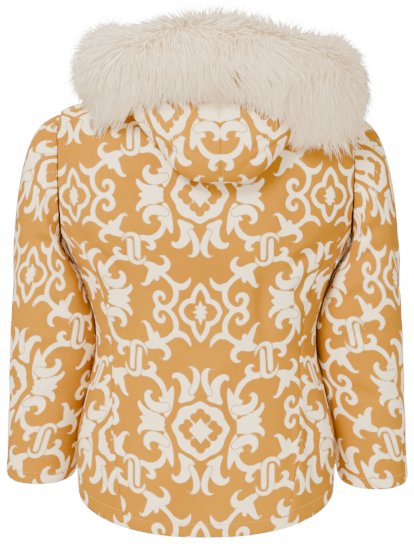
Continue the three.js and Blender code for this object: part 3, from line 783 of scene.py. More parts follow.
@dataclass(frozen=True)
class PolishedHorn:
    """Turned and polished horn: streaked dark brown with a soft gloss."""

    light: str = "6E4420"
    dark: str = "2C1A0E"

    def build(self) -> bpy.types.Material:
        """Makes the material.

        Returns:
            The material.
        """
        material, tree = new_material("polished horn")
        coords = add_node(tree, "ShaderNodeTexCoord").outputs["Object"]
        stretched = add_node(tree, "ShaderNodeMapping", None, {
            "Vector": coords, "Scale": (60.0, 60.0, 260.0)}).outputs["Vector"]
        streak = noise(tree, stretched, 1.0, 4.0, 0.8)
        shader = add_node(tree, "ShaderNodeBsdfPrincipled", None, {
            "Base Color": blend(tree, streak, linear(self.dark), linear(self.light)),
            "Roughness": 0.32, "Coat Weight": 0.2, "Normal": raised(tree, streak, 0.08, 0.0004)})
        surface(tree, shader.outputs["BSDF"])
        return material


@dataclass(frozen=True)
class SpunThread:
    """Spun polyester sewing thread: satin, its visible twist drawn in painted light and shade."""

    # The twist's pale band is painted highlight, and its dark band is painted shade.
    light: str = "DFA840"
    dark: str = "B9821C"

    def build(self) -> bpy.types.Material:
        """Makes the material.

        Returns:
            The material.
        """
        material, tree = new_material("spun thread")
        coords = add_node(tree, "ShaderNodeTexCoord").outputs["Object"]
        twist = add_node(tree, "ShaderNodeTexWave", {"bands_direction": "DIAGONAL"}, {
            "Vector": coords, "Scale": 700.0, "Distortion": 1.0}).outputs["Fac"]
        shader = add_node(tree, "ShaderNodeBsdfPrincipled", None, {
            # The twist's painted shade and painted highlight, blended into the colour.
            "Base Color": blend(tree, twist, linear(self.dark), linear(self.light)),
            "Roughness": 0.6, "Sheen Weight": 0.1, "Normal": raised(tree, twist, 0.4, 0.0003)})
        surface(tree, shader.outputs["BSDF"])
        return material


@dataclass(frozen=True)
class PaperSweep:
    """Matt white studio paper."""

    colour: str = "F4F3F1"

    def build(self) -> bpy.types.Material:
        """Makes the material.

        Returns:
            The material.
        """
        material, tree = new_material("studio paper")
        shader = add_node(tree, "ShaderNodeBsdfPrincipled", None, {
            "Base Color": linear(self.colour), "Roughness": 0.95})
        surface(tree, shader.outputs["BSDF"])
        return material


# Making pieces


def side_name(side: int) -> str:
    """Names the wearer's side."""
    return "left" if side > 0 else "right"


def link_piece(name: str, mesh: bpy.types.Mesh, nodes: tuple[str, ...] = ()) -> bpy.types.Object:
    """Puts a finished mesh in the scene as a piece of the coat.

    Args:
        name: the piece's name.
        mesh: its mesh, in place and in metres.
        nodes: the CAD nodes that it stands for.

    Returns:
        The piece.
    """
    piece = bpy.data.objects.new(name, mesh)
    bpy.context.scene.collection.objects.link(piece)
    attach(piece, "root")
    if nodes:
        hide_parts(*nodes)
    LOG.info("%s: %d faces", name, len(mesh.polygons))
    return piece


def even_places(lines: Callable[[np.ndarray], list[np.ndarray]], low: float, high: float,
                step: float = CLOTH_STEP, near: float = 1.5) -> np.ndarray:
    """Spaces places along cloth so that no row is wider than a step, with a narrow row at each end.

    Args:
        lines: gives the cloth's own points along a few lines at many places.
        low, high: the first and last place.
        step: the widest spacing, in millimetres.
        near: the width of the end rows.

    Returns:
        The places.
    """
    dense = np.linspace(low, high, 900)
    gaps = np.max([np.linalg.norm(np.diff(line, axis=0), axis=1) for line in lines(dense)], axis=0)
    length = np.concatenate([[0], np.cumsum(gaps)])
    inner = np.linspace(near, length[-1] - near, max(int(math.ceil((length[-1] - 2 * near) / step)), 2) + 1)
    return np.interp(np.concatenate([[0], inner, [length[-1]]]), length, dense)


@dataclass(frozen=True)
class Crease:
    """A soft trough or ridge of the cloth, by its ends on the panel, its half width and its height."""

    from_u: float
    from_v: float
    to_u: float
    to_v: float
    half: float
    height: float
    bow: float = 0.0

    def lift(self, u: np.ndarray, v: np.ndarray) -> np.ndarray:
        """Gives how far the crease lifts each place of the panel.

        Args:
            u, v: places in millimetres.

        Returns:
            Heights in millimetres.
        """
        run = np.array([self.to_u - self.from_u, self.to_v - self.from_v])
        length = math.hypot(*run)
        run = run / length
        along = ((u - self.from_u) * run[0] + (v - self.from_v) * run[1]) / length
        side = (v - self.from_v) * run[0] - (u - self.from_u) * run[1]
        t = np.clip(along, 0, 1)
        side = side - self.bow * 4 * t * (1 - t)
        fade = np.sin(np.pi * np.clip(along, 0, 1)) ** 0.8
        ridge = np.exp(-(side / self.half) ** 2)
        shoulder = 0.35 * np.exp(-((side - 1.9 * self.half) / self.half) ** 2)
        return self.height * fade * (ridge - shoulder)


@dataclass
class ClothPanel:
    """One cut piece of the printed cotton, as a thin shell with its creases, seams and print."""

    name: str
    node: str
    points: np.ndarray
    normals: np.ndarray
    creases: tuple[Crease, ...]
    crease_place: tuple[np.ndarray, np.ndarray]
    rest_row: int
    rest_column: int
    print_from: tuple[float, float]
    mirror: bool = False
    lean: float = 0.0
    wall: float = WALL
    kept: np.ndarray | None = None
    calm: float | np.ndarray = 1.0
    least_fill: float = 0.3
    depth_of_creases: float = 1.4
    swell: np.ndarray | float = 0.0
    plain_hem: float = 0.0
    wave_lengths: tuple[float, ...] = (170, 120, 85, 60, 44, 31)
    wave_height: float = 0.0065  # share of a wave's length
    pucker_height: float = 0.5
    pucker_pitch: float = 11
    groove_depth: float = 1.5
    groove_half: float = 2.6

    def __post_init__(self) -> None:
        """Measures the cloth and raises its creases, waves, puckers and seam grooves."""
        across = np.linalg.norm(np.diff(self.points, axis=1), axis=-1)
        across = np.concatenate([np.zeros((across.shape[0], 1)), np.cumsum(across, 1)], 1)
        down = np.linalg.norm(np.diff(self.points, axis=0), axis=-1)
        down = np.concatenate([np.zeros((1, down.shape[1])), np.cumsum(down, 0)], 0)
        self.u = across - across[:, self.rest_column:self.rest_column + 1]
        self.v = down - down[self.rest_row] + self.points[self.rest_row, :, 2]
        self.edge = np.minimum.reduce([
            across, across[:, -1:] - across, down, down[-1:] - down, self.gap_to_cut()])
        creases = sum((crease.lift(*self.crease_place) for crease in self.creases), np.zeros_like(self.u))
        loose = ease(0, 16, self.edge)
        along_seam = 2 * np.pi * (self.u + self.v) / self.pucker_pitch + 2 * np.sin((self.u - self.v) / 23)
        pucker = self.pucker_height * np.sin(along_seam) * np.exp(-((self.edge - 7) / 5) ** 2)
        groove = -self.groove_depth * np.exp(-(self.edge / self.groove_half) ** 2)
        folds = self.depth_of_creases * creases + self.calm * self.waves()
        lift = loose * folds + pucker + groove + self.swell
        self.to_hem = down[-1:] - down
        self.points = self.points + self.normals * lift[..., None]

    def waves(self) -> np.ndarray:
        """Gives the cloth's soft unevenness: waves of several lengths that swell and fade.

        Returns:
            Heights in millimetres.
        """
        waves = np.zeros_like(self.u)
        chance = np.random.default_rng(SEED)
        for wave in self.wave_lengths:
            turn = chance.uniform(0, 2 * np.pi, 3)
            run = np.array([np.cos(turn[0]), 0.55 * np.sin(turn[0])]) * 2 * np.pi / wave
            swell = 1 + 0.6 * np.sin(self.u / (wave * 1.7) + self.v / (wave * 2.3) + turn[2])
            waves += self.wave_height * wave * np.sin(self.u * run[0] + self.v * run[1] + turn[1]) * swell
        return waves

    def gap_to_cut(self) -> np.ndarray:
        """Measures how far each point is from the corner that the armhole cuts away.

        Returns:
            Rough distances in millimetres.
        """
        away = np.full(self.points.shape[:2], FAR_AWAY)
        if self.kept is None:
            return away
        rows, columns = np.nonzero(~self.kept)
        first_row, next_column = rows.min(), columns.max() + 1
        below, beside = self.points[first_row - 1, :next_column + 1], self.points[first_row:, next_column]
        for spot in np.concatenate([below, beside]):
            away = np.minimum(away, np.linalg.norm(self.points - spot, axis=-1))
        return away

    def build(self, artwork: Print, right_side: bpy.types.Material,
              reverse: bpy.types.Material) -> bpy.types.Object:
        """Makes the piece.

        Args:
            artwork: the print.
            right_side, reverse: the cloth's two finishes.

        Returns:
            The piece.
        """
        rows, columns = self.points.shape[:2]
        shell = bmesh.new()
        bmesh.ops.create_grid(shell, x_segments=columns - 1, y_segments=rows - 1, size=1)
        where = np.array([vert.co[:2] for vert in shell.verts])
        column = np.rint((where[:, 0] + 1) / 2 * (columns - 1)).astype(int)
        row = np.rint((where[:, 1] + 1) / 2 * (rows - 1)).astype(int)
        placed = self.points[row, column] * MM
        for vert, place in zip(shell.verts, placed):
            vert.co = place
        sign = -1 if self.mirror else 1
        u, v = sign * self.u[row, column], self.v[row, column]
        up = v - self.print_from[1]
        depth, over = artwork.read(self.u[row, column] - self.print_from[0] + self.lean * up, up)
        if self.plain_hem:
            depth = np.minimum(depth, self.to_hem[row, column] - self.plain_hem)
        layers = [shell.verts.layers.float.new(name) for name in ("print_depth", "print_over")]
        cut = shell.loops.layers.uv.new("Cut")
        shell.verts.index_update()
        for vert, inside, lies_over in zip(shell.verts, depth, over):
            vert[layers[0]], vert[layers[1]] = float(inside), float(lies_over)
        for face in shell.faces:
            face.smooth = True
            for loop in face.loops:
                loop[cut].uv = (u[loop.vert.index] * MM, v[loop.vert.index] * MM)
        normals = self.normals[row, column]
        if self.kept is not None:
            kept = self.kept[row, column]
            gone = [vert for vert in shell.verts if not kept[vert.index]]
        shell.faces.ensure_lookup_table()
        middle = shell.faces[len(shell.faces) // 3]
        middle.normal_update()
        away = Vector(np.mean([normals[vert.index] for vert in middle.verts], axis=0))
        facing = middle.normal.dot(away) > 0
        if self.kept is not None:
            bmesh.ops.delete(shell, geom=gone, context="VERTS")
        if not facing:
            bmesh.ops.reverse_faces(shell, faces=shell.faces)
        mesh = bpy.data.meshes.new(self.name)
        shell.to_mesh(mesh)
        shell.free()
        mesh.materials.append(right_side)
        mesh.materials.append(reverse)
        piece = link_piece(self.name, mesh, (self.node,))
        wall = piece.modifiers.new("cloth wall", "SOLIDIFY")
        wall.thickness = self.wall * MM
        wall.offset = -1
        wall.use_rim = True
        wall.material_offset = 1
        wall.material_offset_rim = 0
        return piece

    def declare(self, piece: bpy.types.Object, with_pieces: tuple[bpy.types.Object, ...] = ()) -> None:
        """Says what the piece was cut from: its flat width, length and area.

        Args:
            piece: the cloth; not used.
            with_pieces: what is sewn on it; not used.
        """
        kept = np.ones(self.points.shape[:2], bool) if self.kept is None else self.kept
        corners = [self.points[:-1, :-1], self.points[1:, :-1], self.points[1:, 1:], self.points[:-1, 1:]]
        squares = kept[:-1, :-1] & kept[1:, :-1] & kept[1:, 1:] & kept[:-1, 1:]
        halves = [np.linalg.norm(np.cross(corners[j] - corners[0], corners[j + 1] - corners[0]), axis=-1) / 2
                  for j in (1, 2)]
        area = float(np.sum((halves[0] + halves[1])[squares])) * MM * MM
        width = float(np.max(self.u[kept]) - np.min(self.u[kept])) * MM
        length = float(np.max(self.v[kept]) - np.min(self.v[kept])) * MM
        # A cut that narrows to a tail is as wide as its rows on average.
        if area < self.least_fill * width * length:
            width = float(np.mean(np.ptp(self.u, axis=1))) * MM
        LOG.info("%s: cut %.3f by %.3f m, %.3f square metres", self.name, width, length, area)


# The coat's parts


@dataclass
class CoatBody:
    """The back, the two fronts that wrap round to the back's side seams, and the button band."""

    back_print: tuple[float, float] = (7, -345)
    front_print: tuple[float, float] = (0, -345)
    band_calm: tuple[float, float] = (24, 52)
    under_columns: int = (FRONT_TURN - SEAM_TURN) // ARMHOLE_STEP
    chest_columns: int = 9
    front_armhole_rows: int = (360 - FRONT_TURN) // ARMHOLE_STEP
    back_creases: tuple[Crease, ...] = (
        Crease(-84, -280, -92, -395, 10, -3.2, 5),
        Crease(78, -300, 90, -390, 11, -2.2, -4),
        Crease(-172, -250, -118, -286, 7, -3.4, 6),
        Crease(-168, -282, -126, -330, 8, -2.8, 5),
        Crease(-160, -320, -140, -372, 8, -2.6, -4),
        Crease(172, -252, 122, -290, 7, -3.2, -6),
        Crease(166, -286, 130, -332, 8, -2.4, -5),
        Crease(150, -330, 138, -378, 8, -2.2, 4),
        Crease(-40, -420, -58, -560, 14, -2.0, 6),
        Crease(62, -430, 70, -600, 15, -2.2, -6),
        Crease(10, -455, 4, -620, 16, 1.6, 5),
        Crease(-120, -470, -128, -620, 13, -2.2, -5),
        Crease(118, -480, 132, -610, 12, -2.0, 4),
        Crease(-150, -150, -120, -215, 12, -1.8, 6),
        Crease(152, -150, 118, -220, 12, -1.8, -6),
        Crease(-60, -398, 40, -404, 9, -1.2, 3),
        Crease(-130, -404, -70, -396, 8, -1.6, -3),
        Crease(66, -396, 128, -406, 8, -1.5, 3),
    )
    front_creases: tuple[Crease, ...] = (
        Crease(170, -262, 110, -300, 8, -3.0, 6),
        Crease(164, -300, 108, -352, 9, -2.6, -5),
        Crease(150, -350, 96, -392, 8, -2.2, 5),
        Crease(140, -410, 60, -398, 9, -1.8, 4),
        Crease(96, -430, 104, -590, 14, -2.2, 6),
        Crease(150, -450, 160, -600, 13, -2.0, -5),
        Crease(60, -450, 56, -560, 12, 1.8, 5),
        Crease(120, -160, 150, -240, 12, -2.2, -6),
        Crease(84, -190, 96, -300, 13, -1.8, 6),
        Crease(176, -330, 182, -420, 8, -2.2, 4),
    )

    def back_place(self, row: np.ndarray, across: np.ndarray) -> tuple[np.ndarray, np.ndarray]:
        """Gives the body's place at a place of the back.

        Args:
            row: rows up from the hem.
            across: share of the back's half width, from -1 to 1.

        Returns:
            The body's angles and levels.
        """
        armhole_rows = SEAM_TURN / ARMHOLE_STEP
        seam_level = SEAM_TOP[1] * np.clip(row / SEAM_ROWS, 0, 1)
        turn = np.clip(SEAM_TURN - ARMHOLE_STEP * (row - SEAM_ROWS), 0, SEAM_TURN)
        arm_angle, arm_level = armhole_place(turn, 1)
        share = np.clip((row - SEAM_ROWS - armhole_rows) / SHOULDER_ROWS, 0, 1)
        top_level = mix(ARMHOLE_LEVEL + ARMHOLE_HALF_HEIGHT, NECK_LEVEL, share)
        on_seam, on_arm = row <= SEAM_ROWS, row <= SEAM_ROWS + armhole_rows
        level = np.where(on_seam, seam_level, np.where(on_arm, arm_level, top_level))
        angle = np.where(on_seam, SIDE_SEAM(seam_level)["angle"], np.where(on_arm, arm_angle, 90.0))
        return angle * across, level

    def front_place(self, row: np.ndarray, column: np.ndarray) -> tuple[np.ndarray, np.ndarray]:
        """Gives the body's place at a place of a front, before its side is chosen.

        Args:
            row: rows up from the hem.
            column: columns from the side seam to the middle.

        Returns:
            The body's angles and levels.
        """
        row, column = np.broadcast_arrays(np.asarray(row, float), np.asarray(column, float))
        turn = np.minimum(SEAM_TURN + ARMHOLE_STEP * column, FRONT_TURN)
        chest = np.clip(column - self.under_columns, 0, None) / self.chest_columns
        top_angle, top_level = armhole_place(turn, 1)
        up = np.clip(row / SEAM_ROWS, 0, 1)
        level = top_level * up
        seam = SIDE_SEAM(level)["angle"]
        top_seam = SIDE_SEAM(top_level)["angle"]
        top_share = (mix(top_angle, 180, chest) - top_seam) / (180 - top_seam)
        share = mix(column / (self.under_columns + self.chest_columns), top_share, ease(0, 1, up))
        low_angle = mix(seam, 180, share)
        step = np.clip(row - SEAM_ROWS, 0, None)
        edge_angle, edge_arm = armhole_place(np.minimum(FRONT_TURN + ARMHOLE_STEP * step, 360), 1)
        shoulder = np.clip(step - self.front_armhole_rows, 0, None) / SHOULDER_ROWS
        edge_level = mix(edge_arm, NECK_LEVEL, shoulder)
        low = float(armhole_place(FRONT_TURN, 1)[1])
        middle = mix(low, NECK_LEVEL, step / (self.front_armhole_rows + SHOULDER_ROWS))
        above = row > SEAM_ROWS
        return (np.where(above, mix(edge_angle, 180, chest), low_angle),
                np.where(above, mix(edge_level, middle, ease(0, 1, chest)), level))

    def back(self) -> ClothPanel:
        """Lays out the back.

        Returns:
            The panel.
        """
        top = SEAM_ROWS + SEAM_TURN // ARMHOLE_STEP + SHOULDER_ROWS
        rows = even_places(
            lambda s: [body_point(*self.back_place(s, across)) for across in (0, 0.5, 1)], 0, top)
        columns = even_places(
            lambda s: [body_point(*self.back_place(row + 0 * s, s)) for row in (0, SEAM_ROWS, 18)], -1, 1)
        angle, level = self.back_place(*np.meshgrid(rows, columns, indexing="ij"))
        points = body_point(angle, level)
        return ClothPanel(
            "cloth_back", "back_panel", points, body_normal(angle, level), self.back_creases,
            (points[..., 0], points[..., 2]), int(np.argmin(np.abs(level[:, 0] - PRINT_LEVEL))),
            len(columns) // 2, self.back_print)

    def front(self, side: int) -> ClothPanel:
        """Lays out one front.

        Args:
            side: 1 for the left and -1 for the right.

        Returns:
            The panel.
        """
        last = self.under_columns + self.chest_columns
        top = SEAM_ROWS + self.front_armhole_rows + SHOULDER_ROWS

        def down_columns(s: np.ndarray) -> list[np.ndarray]:
            """Gives points at many rows along three columns."""
            spread = (last, last - 5, self.under_columns)
            return [body_point(*self.front_place(s, column)) for column in spread]

        def along_rows(s: np.ndarray) -> list[np.ndarray]:
            """Gives points at many columns along three rows."""
            return [body_point(*self.front_place(row, s)) for row in (0, 7, SEAM_ROWS)]

        rows = np.concatenate([
            even_places(down_columns, 0, SEAM_ROWS), even_places(down_columns, SEAM_ROWS, top)[1:]])
        columns = np.concatenate([
            even_places(along_rows, 0, self.under_columns),
            even_places(along_rows, self.under_columns, last)[1:]])
        row, column = np.meshgrid(rows, columns, indexing="ij")
        angle, level = self.front_place(row, column)
        points = body_point(side * angle, level)
        points[:, -1, 0] = side * FRONT_EDGE
        kept = ~((row > SEAM_ROWS + 1e-6) & (column < self.under_columns - 1e-6))
        from_middle = np.abs(points[..., 0])
        calm = np.where(points[..., 1] < 0, ease(*self.band_calm, from_middle), 1.0)
        name = side_name(side)
        return ClothPanel(
            f"cloth_front_{name}", f"front_{name}", points, body_normal(side * angle, level),
            self.front_creases, (from_middle, points[..., 2]), 0, len(columns) - 1, self.front_print,
            mirror=side < 0, kept=kept, calm=calm)

    def band(self) -> ClothPanel:
        """Lays out the button band over both fronts.

        Returns:
            The panel.
        """
        last = self.under_columns + self.chest_columns
        top = SEAM_ROWS + self.front_armhole_rows + SHOULDER_ROWS
        rows = even_places(lambda s: [body_point(*self.front_place(s, last))], 0, top)
        x = even_places(lambda s: [np.stack([s, 0 * s, 0 * s], -1)], -BAND_WIDTH / 2, BAND_WIDTH / 2)
        level = self.front_place(rows, last)[1][:, None] + 0 * x
        ring = BODY_RING(level)
        bend = np.arcsin(np.abs(x / ring["side_x"]) ** (ring["square"] / 2)) / RADIANS
        angle = 180 - bend * np.sign(x)
        normals = body_normal(angle, level)
        points = body_point(angle, level) + normals * (BAND_CLEAR + BAND_WALL)
        return ClothPanel(
            "cloth_band", "front_placket", points, normals, (), (points[..., 0], points[..., 2]), 0,
            len(x) // 2, self.front_print, wall=BAND_WALL, calm=0.0)


@dataclass
class Sleeve:
    """One sleeve: a tube closed by a seam under the arm."""

    side: int
    print_from: tuple[float, float]
    creases: tuple[Crease, ...]
    lean: float = 0.25
    against_body: float = 1.5  # how far the inner side swells towards the waist
    waist_below: float = 350
    waist_half: float = 42
    print_level: float = 240  # where the print is laid round the sleeve, from the shoulder

    def panel(self) -> ClothPanel:
        """Lays out the sleeve, from the cuff up.

        Returns:
            The panel.
        """
        side, name = self.side, side_name(self.side)
        rows = even_places(
            lambda s: [sleeve_point(turn, s, side) for turn in (0, 90, 180, 270)], SLEEVE_LENGTH, 0)
        levels = (60, self.print_level, SLEEVE_LENGTH)
        columns = even_places(lambda s: [sleeve_point(s, along, side) for along in levels], 180, -180)
        along, turn = np.meshgrid(rows, columns, indexing="ij")
        points = sleeve_point(turn, along, side)
        rest_row = int(np.argmin(np.abs(rows - self.print_level)))
        rest_column = int(np.argmin(np.abs(columns - 90)))
        arc = np.linalg.norm(np.diff(points[rest_row], axis=0), axis=-1)
        arc = np.concatenate([[0], np.cumsum(arc)])
        round_by = np.broadcast_to(arc - arc[rest_column], along.shape)
        inner = np.clip(-np.cos(np.radians(turn)), 0, 1) ** 2
        inner = inner * np.exp(-((points[..., 2] + self.waist_below) / self.waist_half) ** 2)
        return ClothPanel(
            f"cloth_sleeve_{name}", f"sleeve_{name}", points, sleeve_normal(turn, along, side), self.creases,
            (round_by, points[..., 2]), rest_row, rest_column, self.print_from, mirror=side < 0,
            lean=self.lean, swell=self.against_body * inner)


@dataclass
class Hood:
    """The hood thrown back: two halves with a seam down the middle, folded to a pouch under the ruff."""

    print_from: tuple[float, float] = (82, -233)
    creases: dict[int, tuple[Crease, ...]] = field(default_factory=lambda: {
        1: (Crease(8, -146, 76, -104, 4, -2.6, 4), Crease(4, -130, 66, -96, 4, -2.0, 4),
            Crease(-26, -142, -10, -152, 4, -2.0, -3)),
        -1: (Crease(44, -148, 116, -98, 4, -2.8, 4), Crease(50, -132, 104, -94, 4, -2.2, 4),
             Crease(60, -118, 96, -92, 4, -1.8, 3)),
    })

    def panel(self, side: int) -> ClothPanel:
        """Lays out one half.

        Args:
            side: 1 for the left and -1 for the right.

        Returns:
            The panel.
        """
        rows = even_places(lambda s: [hood_point(side * a + 0 * s, s) for a in (0.1, 20.0, 60.0)], 0, 1)
        columns = even_places(
            lambda s: [hood_point(side * s, t + 0 * s) for t in (0.0, 0.5, 0.95)], 0, HOOD_FRONT)
        along, angle = np.meshgrid(rows, columns, indexing="ij")
        points = hood_point(side * angle, along)
        name = side_name(side)
        return ClothPanel(
            f"cloth_hood_{name}", f"hood_{name}", points, hood_normal(side * angle, along),
            self.creases[side], (side * points[..., 0], points[..., 2]), len(rows) - 1, 0, self.print_from,
            mirror=side < 0, wall=HOOD_WALL, calm=0.3, plain_hem=11)


def joined_copies(name: str, verts: np.ndarray, faces: list[tuple[int, ...]]) -> bpy.types.Mesh:
    """Joins many copies of one small shape in a mesh.

    Args:
        name: the mesh's name.
        verts: the copies' points in metres, as (copies, points, 3).
        faces: the shape's faces.

    Returns:
        The mesh.
    """
    count, size = verts.shape[:2]
    every = [tuple(index + copy * size for index in face) for copy in range(count) for face in faces]
    mesh = bpy.data.meshes.new(name)
    mesh.from_pydata(verts.reshape(-1, 3).tolist(), [], every)
    mesh.shade_smooth()
    return mesh


@dataclass
class Stitching:
    """Rows of machine stitches, each a short thread that dips into the cloth at both ends."""

    pitch: float = 4.2
    long: float = 3.2
    half: float = 0.42
    sides: int = 5

    def along(self, name: str, points: np.ndarray, normals: np.ndarray,
              finish: bpy.types.Material) -> bpy.types.Object:
        """Sews along a line.

        Args:
            name: the piece's name.
            points, normals: the line on the cloth and the way out of it.
            finish: the thread.

        Returns:
            The piece.
        """
        length = np.concatenate([[0], np.cumsum(np.linalg.norm(np.diff(points, axis=0), axis=1))])
        centres = np.arange(self.pitch, length[-1] - self.pitch, self.pitch)

        def at(places: np.ndarray, line: np.ndarray) -> np.ndarray:
            """Reads a line's values at lengths along it."""
            return np.stack([np.interp(places, length, line[:, k]) for k in range(3)], -1)

        out = unit(at(centres, normals))
        rings = []
        for share, rise in ((-0.5, -0.5), (-0.28, 0.25), (0.28, 0.25), (0.5, -0.5)):
            middle = at(centres + share * self.long, points) + out * rise
            run = unit(at(centres + 0.5, points) - at(centres - 0.5, points))
            side = unit(np.cross(out, run))
            for turn in np.arange(self.sides) * 2 * np.pi / self.sides:
                rings.append(middle + self.half * (side * np.cos(turn) + out * np.sin(turn)))
        verts = np.stack(rings, 1) * MM
        faces = []
        for ring in range(3):
            for k in range(self.sides):
                a, b = ring * self.sides + k, ring * self.sides + (k + 1) % self.sides
                faces.append((a, b, b + self.sides, a + self.sides))
        faces.append(tuple(reversed(range(self.sides))))
        faces.append(tuple(range(3 * self.sides, 4 * self.sides)))
        mesh = joined_copies(name, verts, faces)
        mesh.materials.append(finish)
        return link_piece(name, mesh)


@dataclass
class HornButtons:
    """Five round horn buttons with a raised rim, four holes and crossed thread."""

    radius: float = 11
    thick: float = 3.6
    rim: float = 2.4
    dish: float = 1.0
    hole: float = 1.1
    hole_from_middle: float = 2.6
    strand_half: float = 0.34
    segments: int = 40

    def hole_spots(self, height: float) -> list[Matrix]:
        """Gives the places of the four holes.

        Args:
            height: a level in the button's own frame.

        Returns:
            A move to each hole.
        """
        angles = [math.pi / 4 + turn * math.pi / 2 for turn in range(4)]
        out = self.hole_from_middle
        return [Matrix.Translation((out * math.cos(a), out * math.sin(a), height)) for a in angles]

    def turned(self, name: str) -> bpy.types.Mesh:
        """Turns the disc with its rim and dish.

        Args:
            name: the mesh's name.

        Returns:
            The mesh, in millimetres and without holes.
        """
        disc = bmesh.new()
        radius, thick, floor = self.radius, self.thick, self.thick - self.dish
        inner = radius - self.rim
        profile = [(0.01, 0), (radius - 1.2, 0), (radius, 1.1), (radius, thick - 1.1),
                   (radius - 0.5, thick - 0.2), (radius - 1.2, thick), (inner, thick - 0.25),
                   (inner - 1.2, floor), (0.01, floor)]
        verts = [disc.verts.new((r, 0, z)) for r, z in profile]
        edges = [disc.edges.new(pair) for pair in zip(verts[:-1], verts[1:])]
        bmesh.ops.spin(disc, geom=verts + edges, cent=(0, 0, 0), axis=(0, 0, 1), angle=2 * math.pi,
                       steps=self.segments, use_merge=True)
        bmesh.ops.remove_doubles(disc, verts=disc.verts, dist=0.03)
        bmesh.ops.recalc_face_normals(disc, faces=disc.faces)
        for face in disc.faces:
            face.smooth = True
        mesh = bpy.data.meshes.new(name)
        disc.to_mesh(mesh)
        disc.free()
        return mesh

    def drilled(self, mesh: bpy.types.Mesh) -> bpy.types.Mesh:
        """Drills the four holes.

        Args:
            mesh: the turned disc.

        Returns:
            A new mesh with holes.
        """
        drill = bmesh.new()
        for spot in self.hole_spots(self.thick / 2):
            bmesh.ops.create_cone(drill, cap_ends=True, segments=14, radius1=self.hole, radius2=self.hole,
                                  depth=3 * self.thick, matrix=spot)
        drill_mesh = bpy.data.meshes.new("drill")
        drill.to_mesh(drill_mesh)
        drill.free()
        blank = bpy.data.objects.new("blank", mesh)
        cutter = bpy.data.objects.new("cutter", drill_mesh)
        for thing in (blank, cutter):
            bpy.context.scene.collection.objects.link(thing)
        bored = blank.modifiers.new("holes", "BOOLEAN")
        bored.operation = "DIFFERENCE"
        bored.solver = "EXACT"
        bored.object = cutter
        bpy.context.view_layer.update()
        finished = bpy.data.meshes.new_from_object(blank.evaluated_get(bpy.context.evaluated_depsgraph_get()))
        for thing in (blank, cutter):
            bpy.data.objects.remove(thing)
        return finished

    def crossed_thread(self, name: str) -> bpy.types.Mesh:
        """Makes the thread: two strands along each diagonal, and one down each hole.

        Args:
            name: the mesh's name.

        Returns:
            The mesh, in millimetres.
        """
        cross = bmesh.new()
        top, half = self.thick - self.dish, self.strand_half
        laid_down = Matrix.Rotation(math.pi / 2, 3, "Y")
        for turn in (math.pi / 4, 3 * math.pi / 4):
            for strand in (-0.35, 0.35):
                bar = bmesh.ops.create_cone(cross, cap_ends=True, segments=8, radius1=half, radius2=half,
                                            depth=2 * self.hole_from_middle)["verts"]
                bmesh.ops.rotate(cross, verts=bar, cent=(0, 0, 0), matrix=laid_down)
                bmesh.ops.translate(cross, verts=bar, vec=(0, strand, top + 0.35))
                bmesh.ops.rotate(cross, verts=bar, cent=(0, 0, 0), matrix=Matrix.Rotation(turn, 3, "Z"))
        for spot in self.hole_spots(top / 2 - 0.2):
            bmesh.ops.create_cone(cross, cap_ends=True, segments=8, radius1=0.6, radius2=0.6,
                                  depth=top + 1.1, matrix=spot)
        mesh = bpy.data.meshes.new(name)
        cross.to_mesh(mesh)
        cross.free()
        return mesh

    def build(self, number: int, level: float, horn: bpy.types.Material,
              thread: bpy.types.Material) -> list[bpy.types.Object]:
        """Makes one button and its thread.

        Args:
            number: the button's number from the hem.
            level: its height on the front.
            horn, thread: finishes.

        Returns:
            The button and its thread.
        """
        normal = Vector(body_normal(180.0, level))
        base = Vector(body_point(180.0, level)) + normal * (BAND_CLEAR + BAND_WALL + BUTTON_CLEAR)
        place = Matrix.Translation(base * MM) @ normal.to_track_quat("Z", "Y").to_matrix().to_4x4()
        place = place @ Matrix.Diagonal((MM, MM, MM, 1))
        button_name, thread_name = f"horn_button_{number}", f"button_thread_{number}"
        button = self.drilled(self.turned(button_name))
        button.transform(place)
        button.materials.clear()
        button.materials.append(horn)
        cross = self.crossed_thread(thread_name)
        cross.transform(place)
        cross.materials.append(thread)
        return [link_piece(button_name, button, (f"button_{number}",)),
                link_piece(thread_name, cross)]


